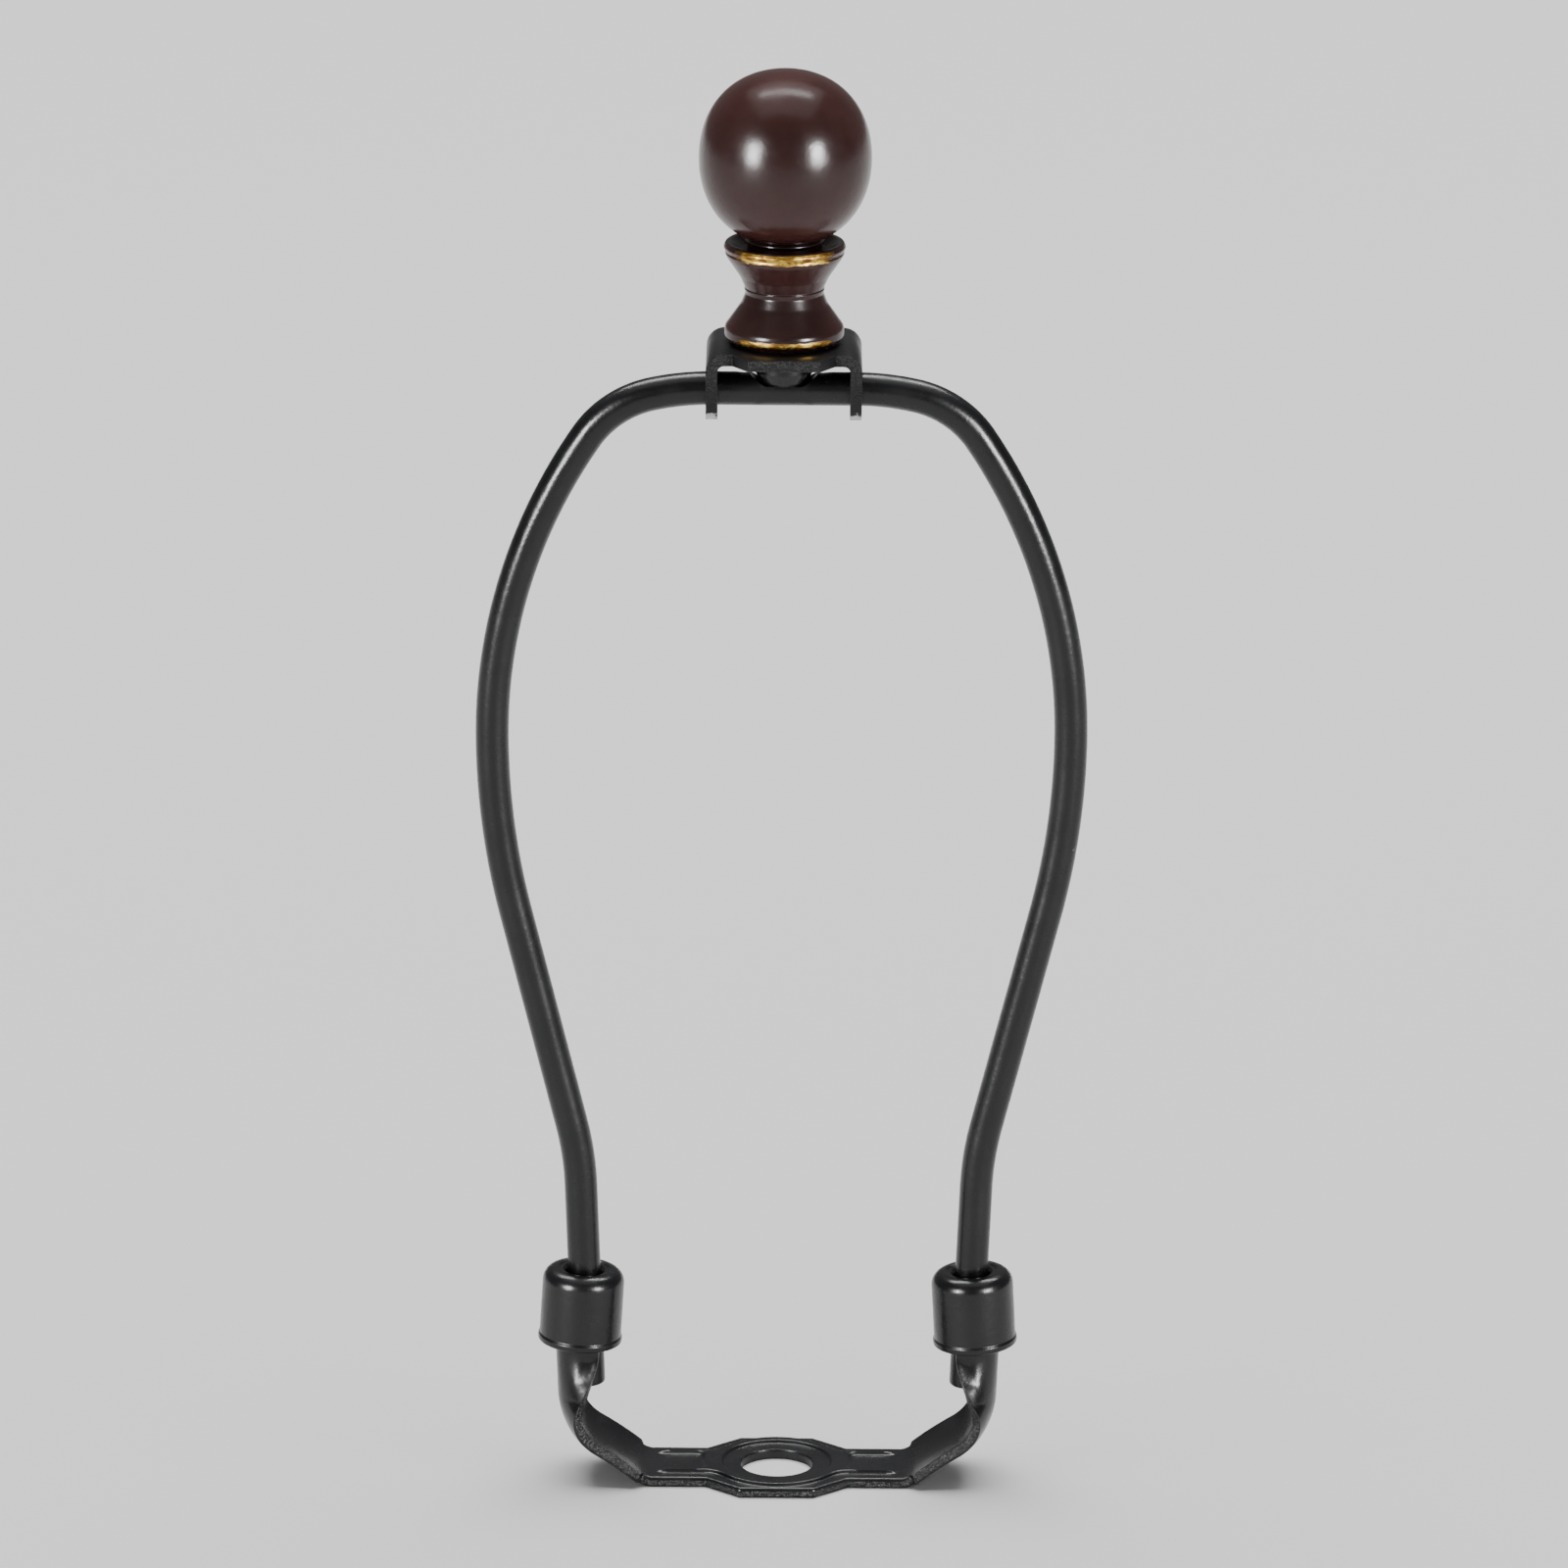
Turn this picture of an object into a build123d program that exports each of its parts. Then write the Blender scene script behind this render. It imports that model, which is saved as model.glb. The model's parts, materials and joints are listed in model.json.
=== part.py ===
from build123d import *
from math import cos, pi, radians, sin, tan
import os

# Lamp harp: a stamped saddle, a bent wire with two locking sleeves, a swivel clip with its stud, and a finial.
# Millimetres. +Z is up, X runs across the harp, and the origin is the centre of the saddle's nipple hole in the
# plane of the saddle's underside. Heights are measured from that plane.

# Harp wire: its height, the places of its legs and the table of its bends, from the top middle outwards
wire_diameter = 4.76
wire_height = 163.9
leg_spacing = 55.0
leg_lean = 2.2
wire_end_height = 14.0
wire_end_chamfer = 0.4
top_straight = 10.2
crown_radius = 38.7
crown_angle = 12.65
shoulder_radius = 15.15
shoulder_angle = 43.25
waist_radius = 110.0
taper_angle = 14.0
foot_radius = 47.0
foot_bend_height = 44.5

# Flat pocket pressed into the top of the wire, which the rivet head of the stud dips into
pocket_length = 9.6
pocket_width = 5.2
pocket_floor_drop = 0.4
pocket_pad_thickness = 0.9
pocket_pad_round = 0.7

# Saddle: the flat middle of the sheet
sheet = 1.5
nipple_hole_radius = 5.3
nipple_hole_edge = 0.15
press_height = 0.45
seat_radius = 7.7
boss_radius = 9.7
boss_fillet = 2.0
middle_half_depth = 10.3
middle_front_half_length = 5.4
middle_half_length = 10.3
arm_half_depth = 6.25
rib_half_depth = 4.2
rib_end = 17.6
groove_start = 10.7
groove_end = 18.6
groove_half_depth = 3.3
groove_corner = 1.3
press_wall_slope = 45

# Saddle: the arms fold up, widen and curl into channels around the ends of the wire
fold_radius = 5.4
arm_slope = 31.0
prong_bend_radius = 10.4
prong_bend_end_height = 12.8
trough_half_length = 6.8
trough_curl = 17.5
bend_curl = 55.5
bend_curl_lag = 3.0
channel_curl_lag = 0.7
channel_flank = 2.35
channel_clearance = 0.12
channel_offset = 0.6
channel_start_below_sleeve = 1.0
channel_below_sleeve_top = 3.6
flat_curl = 0.5
edge_flank = 0.3
flare_stations = 9
bend_stations = 3
curl_stations = 4

# Sleeves that drop over the prongs
sleeve_radius = 5.95
sleeve_wall = 0.65
sleeve_bottom_height = 20.6
sleeve_top_height = 31.8
sleeve_shoulder = 2.0
sleeve_hole_radius = 2.75
sleeve_hole_lip = 0.8
sleeve_hole_round = 0.6
sleeve_bead = 0.18
sleeve_bead_height = 0.9
sleeve_bead_round = 0.4
sleeve_tilt = 3.7

# Swivel clip: a folded plate that hangs on the wire by two ears
clip_sheet = 1.65
clip_half_length = 11.0
clip_rise = 6.85
clip_bend_radius = 2.6
clip_end_half_depth = 8.2
clip_corner_length = 7.2
clip_front_half_length = 5.1
clip_front_half_depth = 11.3
ear_end_radius = 4.4
ear_clearance = 0.1

# Stud with a 1/4-27 thread, riveted into the clip's plate
stud_radius = 3.175
stud_length = 9.5
stud_tip_chamfer = 0.6
rivet_head_radius = 4.2
rivet_head_height = 2.5
rivet_step_radius = 3.3
rivet_cone_height = 1.4
rivet_tip_radius = 2.3
rivet_tip_gap = 0.85

# Finial: heights are measured up from the face that sits on the clip
finial_thread_clearance = 0.08
finial_hole_depth = 11.0
base_face_radius = 7.5
base_radius = 8.42
base_bead_height = 1.45
base_top_radius = 8.1
base_top_height = 2.8
neck_radius_sharp = 5.2
neck_height = 7.4
neck_round = 2.8
lip_low_radius = 8.05
lip_low_height = 12.5
lip_radius = 8.6
lip_height = 13.8
lip_top_radius = 8.2
lip_top_height = 14.45
dish_radius = 7.6
dish_floor_radius = 6.2
dish_floor_height = 13.1
collar_radius = 5.25
bead_radius = 5.6
bead_low_height = 14.2
bead_height = 14.75
bead_top_height = 15.3
ball_centre_height = 26.5
ball_half_width = 12.15
ball_half_height = 12.45
ball_fullness = 0.6

# Points nearer to each other than this count as the same
same = 0.01

wire_radius = wire_diameter / 2
clip_top_height = wire_height + clip_rise
channel_inner_radius = wire_radius + channel_clearance
channel_outer_radius = channel_inner_radius + sheet
pocket_floor_height = wire_height - pocket_floor_drop
channel_top_height = sleeve_top_height - channel_below_sleeve_top


def leg_x(height):
    """Distance from the middle to the axis of a leg, in its straight stretch."""
    return leg_spacing / 2 + (height - wire_end_height) * tan(radians(leg_lean))


def turn(radius, start, end):
    """Run outwards and drop of an arc that turns the wire from one heading to another, in degrees."""
    sign = 1 if end > start else -1
    run = sign * radius * (sin(radians(end)) - sin(radians(start)))
    drop = sign * radius * (cos(radians(start)) - cos(radians(end)))
    return run, drop


def side_radius_and_taper():
    """Radius of the wire's wide side and length of its straight taper, which close the loop."""
    side_start = crown_angle + shoulder_angle
    taper_heading = 90 + taper_angle
    leg_heading = 90 + leg_lean
    arcs = [
        turn(crown_radius, 0, crown_angle),
        turn(shoulder_radius, crown_angle, side_start),
        turn(waist_radius, 90, taper_heading),
        turn(foot_radius, taper_heading, leg_heading),
    ]
    run = leg_x(foot_bend_height) - top_straight - sum(arc[0] for arc in arcs)
    drop = wire_height - foot_bend_height - sum(arc[1] for arc in arcs)
    side_run, side_drop = turn(1, side_start, 90)
    taper_run, taper_drop = cos(radians(taper_heading)), sin(radians(taper_heading))
    determinant = side_run * taper_drop - taper_run * side_drop
    side_radius = (run * taper_drop - taper_run * drop) / determinant
    taper_length = (side_run * drop - side_drop * run) / determinant
    return side_radius, taper_length


def wire_path():
    """Centre line of the right half of the wire, from the top middle to its lower end."""
    side_radius, taper_length = side_radius_and_taper()
    leg_length = (foot_bend_height - wire_end_height) / cos(radians(leg_lean))
    side_angle = 90 - crown_angle - shoulder_angle
    with BuildLine(Plane.XZ) as path:
        top = Line((0, wire_height), (top_straight, wire_height))
        crown = JernArc(top @ 1, top % 1, crown_radius, -crown_angle)
        shoulder = JernArc(crown @ 1, crown % 1, shoulder_radius, -shoulder_angle)
        side = JernArc(shoulder @ 1, shoulder % 1, side_radius, -side_angle)
        waist = JernArc(side @ 1, side % 1, waist_radius, -taper_angle)
        taper = PolarLine(waist @ 1, taper_length, direction=waist % 1)
        foot = JernArc(taper @ 1, taper % 1, foot_radius, taper_angle - leg_lean)
        PolarLine(foot @ 1, leg_length, direction=foot % 1)
    return path.wire()


def harp_wire():
    """Bent wire with chamfered ends and the pressed pocket at its top."""
    half = sweep(Plane.YZ * Pos(0, wire_height) * Circle(wire_radius), path=wire_path())
    end_edge = half.edges().sort_by(Axis.Z)[0]
    half = chamfer(end_edge, wire_end_chamfer)
    wire = half + mirror(half, about=Plane.YZ)
    pocket = SlotOverall(pocket_length, pocket_width)
    clearing = Pos(0, 0, pocket_floor_height) * extrude(pocket, wire_diameter)
    pad = Pos(0, 0, pocket_floor_height) * extrude(pocket, -pocket_pad_thickness)
    pad = fillet(pad.edges().group_by(Axis.Z)[0], pocket_pad_round)
    return wire - clearing + pad


def middle_outline():
    """Outline of the flat middle: two arms that widen into an octagon."""
    fold = arm_centre_line()[0]
    fold_start = (fold @ 0).X
    corner = [
        (fold_start, 0),
        (fold_start, arm_half_depth),
        (middle_half_length, arm_half_depth),
        (middle_front_half_length, middle_half_depth),
        (0, middle_half_depth),
        (0, 0),
    ]
    quarter = make_face(Polyline(*corner, close=True))
    half = quarter + mirror(quarter, about=Plane.XZ)
    return half + mirror(half, about=Plane.YZ)


def groove_outline():
    """One pressed groove of an arm, with rounded corners."""
    length = groove_end - groove_start
    return Pos((groove_start + groove_end) / 2, 0) * RectangleRounded(length, 2 * groove_half_depth, groove_corner)


def raised_outline():
    """Outline of the ribs and the round boss that stand above the sheet."""
    ribs = Rectangle(2 * rib_end, 2 * rib_half_depth)
    outline = Circle(boss_radius) + ribs
    inner_corners = [v for v in outline.vertices() if abs(v.X) < boss_radius]
    return fillet(inner_corners, boss_fillet)


def flat_middle():
    """Flat middle of the saddle with its boss, ribs, grooves, seat and nipple hole."""
    plate = extrude(middle_outline(), sheet)
    raised = extrude(offset(raised_outline(), press_height), press_height, taper=press_wall_slope)
    plate += Pos(0, 0, sheet) * raised
    hollow = Circle(boss_radius - 2 * press_height) - Circle(seat_radius + press_height)
    plate -= extrude(hollow, press_height)
    seat = extrude(Circle(seat_radius - press_height), press_height, taper=-press_wall_slope)
    plate -= Pos(0, 0, sheet) * seat
    groove = extrude(offset(groove_outline(), -press_height), press_height, taper=-press_wall_slope)
    groove = Pos(0, 0, sheet) * groove
    plate -= groove
    plate -= mirror(groove, about=Plane.YZ)
    plate -= extrude(Circle(nipple_hole_radius), sheet + press_height)
    rims = plate.edges().filter_by(GeomType.CIRCLE).filter_by(lambda e: abs(e.radius - nipple_hole_radius) < same)
    return chamfer(rims.sort_by(Axis.Z)[-1], nipple_hole_edge)


def curled_section(half_length, curl, flank, plane):
    """Cross-section of the sheet, curled upwards, on a plane whose origin is on the middle of the outer face.

    half_length is measured along the middle of the sheet from its centre line to its edge. The centre part is
    an arc that turns by curl degrees to each side, and a straight flank follows it.
    """
    angle = radians(curl)
    arc_length = half_length - flank
    across, along = (cos(angle), sin(angle))
    corners = []
    for side in (0, sheet):
        radius = arc_length / angle + sheet / 2 - side
        centre = arc_length / angle + sheet / 2
        end = (radius * sin(angle), centre - radius * cos(angle))
        tip = (end[0] + flank * across, end[1] + flank * along)
        corners.append((end, tip, side))
    (outer_end, outer_tip, _), (inner_end, inner_tip, _) = corners
    outline = [
        Line((-outer_tip[0], outer_tip[1]), (-outer_end[0], outer_end[1])),
        ThreePointArc((-outer_end[0], outer_end[1]), (0, 0), outer_end),
        Line(outer_end, outer_tip),
        Line(outer_tip, inner_tip),
        Line(inner_tip, inner_end),
        ThreePointArc(inner_end, (0, sheet), (-inner_end[0], inner_end[1])),
        Line((-inner_end[0], inner_end[1]), (-inner_tip[0], inner_tip[1])),
        Line((-inner_tip[0], inner_tip[1]), (-outer_tip[0], outer_tip[1])),
    ]
    return plane * make_face(outline)


def prong_x(height):
    """Distance from the middle to the outer face of the upright prong."""
    return leg_x(height) + channel_offset + channel_outer_radius


def arm_centre_line():
    """Centre line of the arm's outer face: the fold, the slant, the prong's bend and the prong."""
    slope, upright = radians(arm_slope), radians(90 - leg_lean)
    bend_run = prong_bend_radius * (sin(upright) - sin(slope))
    bend_rise = prong_bend_radius * (cos(slope) - cos(upright))
    slant_rise = prong_bend_end_height - bend_rise - fold_radius * (1 - cos(slope))
    fold_start = prong_x(prong_bend_end_height) - bend_run - slant_rise / tan(slope) - fold_radius * sin(slope)
    with BuildLine(Plane.XZ):
        fold = JernArc((fold_start, 0), (1, 0), fold_radius, arm_slope)
        slant = PolarLine(fold @ 1, slant_rise / sin(slope), direction=fold % 1)
        bend = JernArc(slant @ 1, slant % 1, prong_bend_radius, 90 - leg_lean - arm_slope)
        prong = Line(bend @ 1, (prong_x(channel_top_height), channel_top_height))
    return fold, slant, bend, prong


def ease(low, high, share):
    """Value that leaves low and reaches high smoothly while share goes from 0 to 1."""
    return low + (high - low) * share * share * (3 - 2 * share)


def settle(low, high, share):
    """Value that leaves low at once and comes to rest at high while share goes from 0 to 1."""
    return high - (high - low) * (1 - share) ** 2


def section_at(edge, share, half_length, curl, flank):
    """Curled section that stands across an edge of the arm's centre line."""
    place, direction = edge @ share, edge % share
    return curled_section(half_length, curl, flank, Plane(origin=place, x_dir=(0, 1, 0), z_dir=direction))


def arm_and_prong():
    """Right arm: the sheet folds up, widens into a trough and curls into a channel around the wire.

    The channel's section is a half circle with parallel flanks, so each side of it curls by a quarter turn.
    """
    quarter_turn = 90
    fold, slant, bend, prong = arm_centre_line()
    flare = Wire([fold, slant])
    sections = []
    for station in range(flare_stations):
        share = station / (flare_stations - 1)
        half_length = settle(arm_half_depth, trough_half_length, share)
        curl = settle(flat_curl, trough_curl, share)
        sections.append(section_at(flare, share, half_length, curl, edge_flank))
    for station in range(1, bend_stations):
        share = station / bend_stations
        curl = trough_curl + (bend_curl - trough_curl) * share**bend_curl_lag
        sections.append(section_at(bend, share, trough_half_length, curl, edge_flank))
    channel_half_length = (channel_inner_radius + sheet / 2) * pi / 2 + channel_flank
    channel_start = sleeve_bottom_height - channel_start_below_sleeve
    curl_share = (channel_start - prong_bend_end_height) / (channel_top_height - prong_bend_end_height)
    for station in range(curl_stations + 1):
        share = station / curl_stations
        half_length = ease(trough_half_length, channel_half_length, share)
        curl = ease(bend_curl, quarter_turn, share**channel_curl_lag)
        flank = ease(edge_flank, channel_flank, share)
        sections.append(section_at(prong, share * curl_share, half_length, curl, flank))
    channel = extrude(sections[-1], prong.length * (1 - curl_share))
    return loft(sections) + channel


def saddle():
    """Saddle in one piece: the flat middle and both arms."""
    arm = arm_and_prong()
    return flat_middle() + arm + mirror(arm, about=Plane.YZ)


def sleeve():
    """Right sleeve: a drawn cup with a turned-in hole, a round shoulder and a beaded rim."""
    height = sleeve_top_height - sleeve_bottom_height
    inner = sleeve_radius - sleeve_wall
    bead = sleeve_radius + sleeve_bead
    with BuildSketch(Plane.XZ) as profile:
        with BuildLine():
            Polyline(
                (inner, 0),
                (bead, 0),
                (bead, sleeve_bead_height),
                (sleeve_radius, sleeve_bead_height + sleeve_bead),
                (sleeve_radius, height),
                (sleeve_hole_radius, height),
                (sleeve_hole_radius, height - sleeve_wall - sleeve_hole_lip),
                (sleeve_hole_radius + sleeve_wall, height - sleeve_wall - sleeve_hole_lip),
                (sleeve_hole_radius + sleeve_wall, height - sleeve_wall),
                (inner, height - sleeve_wall),
                close=True,
            )
        make_face()
        top = profile.vertices().filter_by(lambda v: v.Y > height - same)
        fillet(top.sort_by(Axis.X)[-1], sleeve_shoulder)
        fillet(top.sort_by(Axis.X)[0], sleeve_hole_round)
        inside = profile.vertices().filter_by(lambda v: abs(v.X - inner) < same and v.Y > same)
        fillet(inside, sleeve_shoulder - sleeve_wall)
        rim = profile.vertices().filter_by(lambda v: v.X > bead - same)
        fillet(rim, sleeve_bead_round)
    cup = revolve(profile.sketch, Axis.Z)
    top_centre = (leg_x(sleeve_top_height), 0, sleeve_top_height)
    return Pos(*top_centre) * Rot(0, -sleeve_tilt, 0) * Pos(0, 0, -height) * cup


def swivel_clip():
    """Folded clip: an octagonal plate, two bends and two ears with round holes for the wire."""
    low = wire_height - ear_end_radius
    inner_half = clip_half_length - clip_sheet
    profile = [
        (-clip_half_length, low),
        (-clip_half_length, clip_top_height),
        (clip_half_length, clip_top_height),
        (clip_half_length, low),
        (inner_half, low),
        (inner_half, clip_top_height - clip_sheet),
        (-inner_half, clip_top_height - clip_sheet),
        (-inner_half, low),
    ]
    outline = make_face(Polyline(*profile, close=True))
    top = outline.vertices().filter_by(lambda v: v.Y > clip_top_height - same)
    outline = fillet(top, clip_bend_radius)
    inside = outline.vertices().filter_by(
        lambda v: abs(v.Y - clip_top_height + clip_sheet) < same and abs(abs(v.X) - inner_half) < same
    )
    outline = fillet(inside, clip_bend_radius - clip_sheet)
    folded = extrude(Plane.XZ * outline, clip_front_half_depth, both=True)
    return folded & clip_top_outline() & ear_outline() - wire_holes() - stud_hole()


def clip_top_outline():
    """Outline of the clip from above, as a tall block."""
    corner = [
        (clip_half_length, 0),
        (clip_half_length, clip_end_half_depth),
        (clip_corner_length, clip_end_half_depth),
        (clip_front_half_length, clip_front_half_depth),
        (0, clip_front_half_depth),
        (0, 0),
    ]
    quarter = make_face(Polyline(*corner, close=True))
    half = quarter + mirror(quarter, about=Plane.XZ)
    return extrude(half + mirror(half, about=Plane.YZ), clip_top_height)


def ear_outline():
    """Outline of the clip from the side: the ears narrow to a round end about the wire."""
    bend_height = clip_top_height - clip_bend_radius
    round_end = Pos(0, wire_height) * Circle(ear_end_radius)
    bend_line = Line((-clip_end_half_depth, bend_height), (clip_end_half_depth, bend_height))
    taper = make_hull(round_end.edges() + bend_line.edges())
    top = Pos(0, bend_height + clip_bend_radius / 2) * Rectangle(2 * clip_front_half_depth, clip_bend_radius)
    return extrude(Plane.YZ * (taper + top), clip_half_length, both=True)


def wire_holes():
    """Round holes in both ears."""
    hole = Circle(wire_radius + ear_clearance)
    return extrude(Plane.YZ * Pos(0, wire_height) * hole, clip_half_length, both=True)


def stud_hole():
    """Hole in the clip's plate that the stud is riveted in."""
    return Pos(0, 0, clip_top_height - clip_sheet) * extrude(Circle(stud_radius), clip_sheet)


def finial_stud():
    """Stud with its rivet head, turned about the vertical axis."""
    plate_low = clip_top_height - clip_sheet
    tip = pocket_floor_height + rivet_tip_gap
    head_low = plate_low - rivet_head_height
    step = head_low - rivet_cone_height
    outline = [
        (0, tip),
        (rivet_tip_radius, tip),
        (rivet_step_radius, step),
        (rivet_head_radius, head_low),
        (rivet_head_radius, plate_low),
        (stud_radius, plate_low),
        (stud_radius, clip_top_height + stud_length - stud_tip_chamfer),
        (stud_radius - stud_tip_chamfer, clip_top_height + stud_length),
        (0, clip_top_height + stud_length),
    ]
    return revolve(Plane.XZ * make_face(Polyline(*outline, close=True)), Axis.Z)


def ball_profile():
    """Right half of the ball's outline: two curves a little fuller than an ellipse."""
    centre, width, height = ball_centre_height, ball_half_width, ball_half_height
    curves = []
    for side in (1, -1):
        pole = centre + side * height
        shoulder = (width, centre + side * ball_fullness * height)
        curves.append(Bezier((width, centre), shoulder, (ball_fullness * width, pole), (0, pole)))
    return make_face(curves + [Line((0, centre - height), (0, centre + height))])


def spool_profile():
    """Right half of the spool below the ball: base, waist, dished lip and the beaded collar in the dish."""
    return make_face(
        [
            Line((0, 0), (base_face_radius, 0)),
            ThreePointArc((base_face_radius, 0), (base_radius, base_bead_height), (base_top_radius, base_top_height)),
            Polyline(
                (base_top_radius, base_top_height),
                (neck_radius_sharp, neck_height),
                (lip_low_radius, lip_low_height),
            ),
            ThreePointArc(
                (lip_low_radius, lip_low_height),
                (lip_radius, lip_height),
                (lip_top_radius, lip_top_height),
            ),
            Polyline(
                (lip_top_radius, lip_top_height),
                (dish_radius, lip_top_height),
                (dish_floor_radius, dish_floor_height),
                (collar_radius, dish_floor_height),
                (collar_radius, bead_low_height),
                (bead_radius, bead_height),
                (collar_radius, bead_top_height),
                (collar_radius, ball_centre_height),
                (0, ball_centre_height),
                (0, 0),
            ),
        ]
    )


def finial():
    """Finial, turned about the vertical axis, with its blind hole for the stud."""
    spool = spool_profile()
    neck = spool.vertices().filter_by(lambda v: abs(v.Y - neck_height) < same)
    spool = fillet(neck, neck_round)
    turned = revolve(Plane.XZ * spool, Axis.Z) + revolve(Plane.XZ * ball_profile(), Axis.Z)
    hole = extrude(Circle(stud_radius + finial_thread_clearance), finial_hole_depth)
    return Pos(0, 0, clip_top_height) * (turned - hole)


def write(node, solid):
    """Write one sub-part to its own STEP file."""
    export_step(solid, f"parts/{node}.step")


def main():
    """Build every sub-part and write it."""
    os.makedirs("parts", exist_ok=True)
    right_sleeve = sleeve()
    write("saddle", saddle())
    write("harp_wire", harp_wire())
    write("sleeve_right", right_sleeve)
    write("sleeve_left", mirror(right_sleeve, about=Plane.YZ))
    write("swivel_clip", swivel_clip())
    write("finial_stud", finial_stud())
    write("finial", finial())


main()
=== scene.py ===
"""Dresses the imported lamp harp: saddle, wire, sleeves, swivel clip, stud and finial.

Sizes are in millimetres unless a class says metres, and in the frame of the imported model: the
origin is the centre of the nipple hole in the plane of the saddle's underside, +Z is up and X
runs from leg to leg. The finishes and the studio follow the photograph.
"""

import json
import logging
import math
from dataclasses import dataclass, field
from enum import Enum
from typing import Sequence

import bmesh
import bpy
from mathutils import Matrix, Vector

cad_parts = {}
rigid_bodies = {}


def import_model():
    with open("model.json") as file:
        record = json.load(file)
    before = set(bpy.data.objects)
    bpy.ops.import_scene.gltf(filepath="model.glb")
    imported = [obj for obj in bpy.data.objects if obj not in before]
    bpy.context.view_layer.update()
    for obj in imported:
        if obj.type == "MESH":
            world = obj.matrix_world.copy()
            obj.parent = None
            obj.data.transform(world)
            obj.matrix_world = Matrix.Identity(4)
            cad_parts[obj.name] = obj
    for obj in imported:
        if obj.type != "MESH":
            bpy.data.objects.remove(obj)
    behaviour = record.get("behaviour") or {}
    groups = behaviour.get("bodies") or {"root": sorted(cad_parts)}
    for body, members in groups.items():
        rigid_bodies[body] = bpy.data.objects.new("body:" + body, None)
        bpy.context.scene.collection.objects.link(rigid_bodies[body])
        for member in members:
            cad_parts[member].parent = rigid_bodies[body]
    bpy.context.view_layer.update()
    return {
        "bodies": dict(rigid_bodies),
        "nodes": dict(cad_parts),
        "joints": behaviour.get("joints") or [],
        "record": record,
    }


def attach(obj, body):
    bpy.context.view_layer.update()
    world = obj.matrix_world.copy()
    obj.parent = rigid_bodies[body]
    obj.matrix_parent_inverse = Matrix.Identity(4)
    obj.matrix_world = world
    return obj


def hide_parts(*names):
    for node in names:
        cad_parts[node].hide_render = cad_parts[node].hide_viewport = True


LOG = logging.getLogger("lamp_harp")
MM = 0.001

# Distances in millimetres under which two points are one, or a point lies in a plane
WELD = 1e-4
LOOSE_WELD = 1e-3
# Attribute that is 1 on the sheared edges of a piece
SHEARED = "sheared"

Point = tuple[float, float]
Place = tuple[float, float, float]
Colour = tuple[float, float, float]
Number = float | bpy.types.NodeSocket


class Side(Enum):
    """The two mirrored halves of the harp."""

    LEFT = -1
    RIGHT = 1


def clamp(value: float) -> float:
    """Keeps a value between 0 and 1."""
    return max(0.0, min(1.0, value))


def ease(share: float, low: float = 0.0, high: float = 1.0) -> float:
    """Goes from low to high with a smooth start and a smooth end.

    Args:
        share: how far along, clamped to 0 to 1.
        low: the value at a share of 0.
        high: the value at a share of 1.

    Returns:
        The value in between.
    """
    share = clamp(share)
    return low + (high - low) * share * share * (3.0 - 2.0 * share)


def settle(low: float, high: float, share: float) -> float:
    """Leaves low at once and comes to rest at high."""
    return high - (high - low) * (1.0 - clamp(share)) ** 2


# Meshes


@dataclass(frozen=True)
class Corner:
    """A corner of a turned profile.

    Attributes:
        radius: its distance from the axis.
        height: its height.
        rounding: the radius that rounds it off.
    """

    radius: float
    height: float
    rounding: float = 0.0


def rounded_profile(corners: Sequence[Corner], arc_steps: int = 8) -> list[Point]:
    """Traces a profile through its corners, with an arc at each rounded one.

    Args:
        corners: the corners in order.
        arc_steps: the steps of each arc.

    Returns:
        Points of radius and height.
    """
    points: list[Point] = []
    for index, corner in enumerate(corners):
        here = Vector((corner.radius, corner.height))
        if corner.rounding == 0.0 or index in (0, len(corners) - 1):
            points.append((here.x, here.y))
            continue
        before, after = corners[index - 1], corners[index + 1]
        back = (Vector((before.radius, before.height)) - here).normalized()
        ahead = (Vector((after.radius, after.height)) - here).normalized()
        half_angle = back.angle(ahead) / 2.0
        centre = here + (back + ahead).normalized() * corner.rounding / math.sin(half_angle)
        reach = corner.rounding / math.tan(half_angle)
        start, end = here + back * reach - centre, here + ahead * reach - centre
        sweep = start.angle_signed(end)
        for step in range(arc_steps + 1):
            spoke = centre + Matrix.Rotation(-sweep * step / arc_steps, 2) @ start
            points.append((spoke.x, spoke.y))
    return points


def turned(profile: Sequence[Point], closed: bool, steps: int = 144) -> bmesh.types.BMesh:
    """Spins a profile about the Z axis.

    Args:
        profile: points of radius and height.
        closed: whether the last point joins the first; otherwise both lie on the axis.
        steps: the steps of the turn.

    Returns:
        The turned mesh, in millimetres.
    """
    bm = bmesh.new()
    verts = [bm.verts.new((radius, 0.0, height)) for radius, height in profile]
    edges = [bm.edges.new(pair) for pair in zip(verts, verts[1:])]
    if closed:
        edges.append(bm.edges.new((verts[-1], verts[0])))
    bmesh.ops.spin(
        bm,
        geom=verts + edges,
        cent=(0.0, 0.0, 0.0),
        axis=(0.0, 0.0, 1.0),
        angle=2.0 * math.pi,
        steps=steps,
        use_merge=True,
    )
    bmesh.ops.remove_doubles(bm, verts=bm.verts, dist=WELD)
    bmesh.ops.recalc_face_normals(bm, faces=bm.faces)
    return bm


def grow(
    bm: bmesh.types.BMesh, front: list[bmesh.types.BMEdge]
) -> tuple[list[bmesh.types.BMEdge], list[bmesh.types.BMVert]]:
    """Extrudes a row of edges in place.

    Args:
        bm: the mesh to work in.
        front: the edges.

    Returns:
        The new edges and their points, still where the old ones are.
    """
    made = bmesh.ops.extrude_edge_only(bm, edges=front)["geom"]
    edges = [part for part in made if isinstance(part, bmesh.types.BMEdge)]
    return edges, [part for part in made if isinstance(part, bmesh.types.BMVert)]


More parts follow.
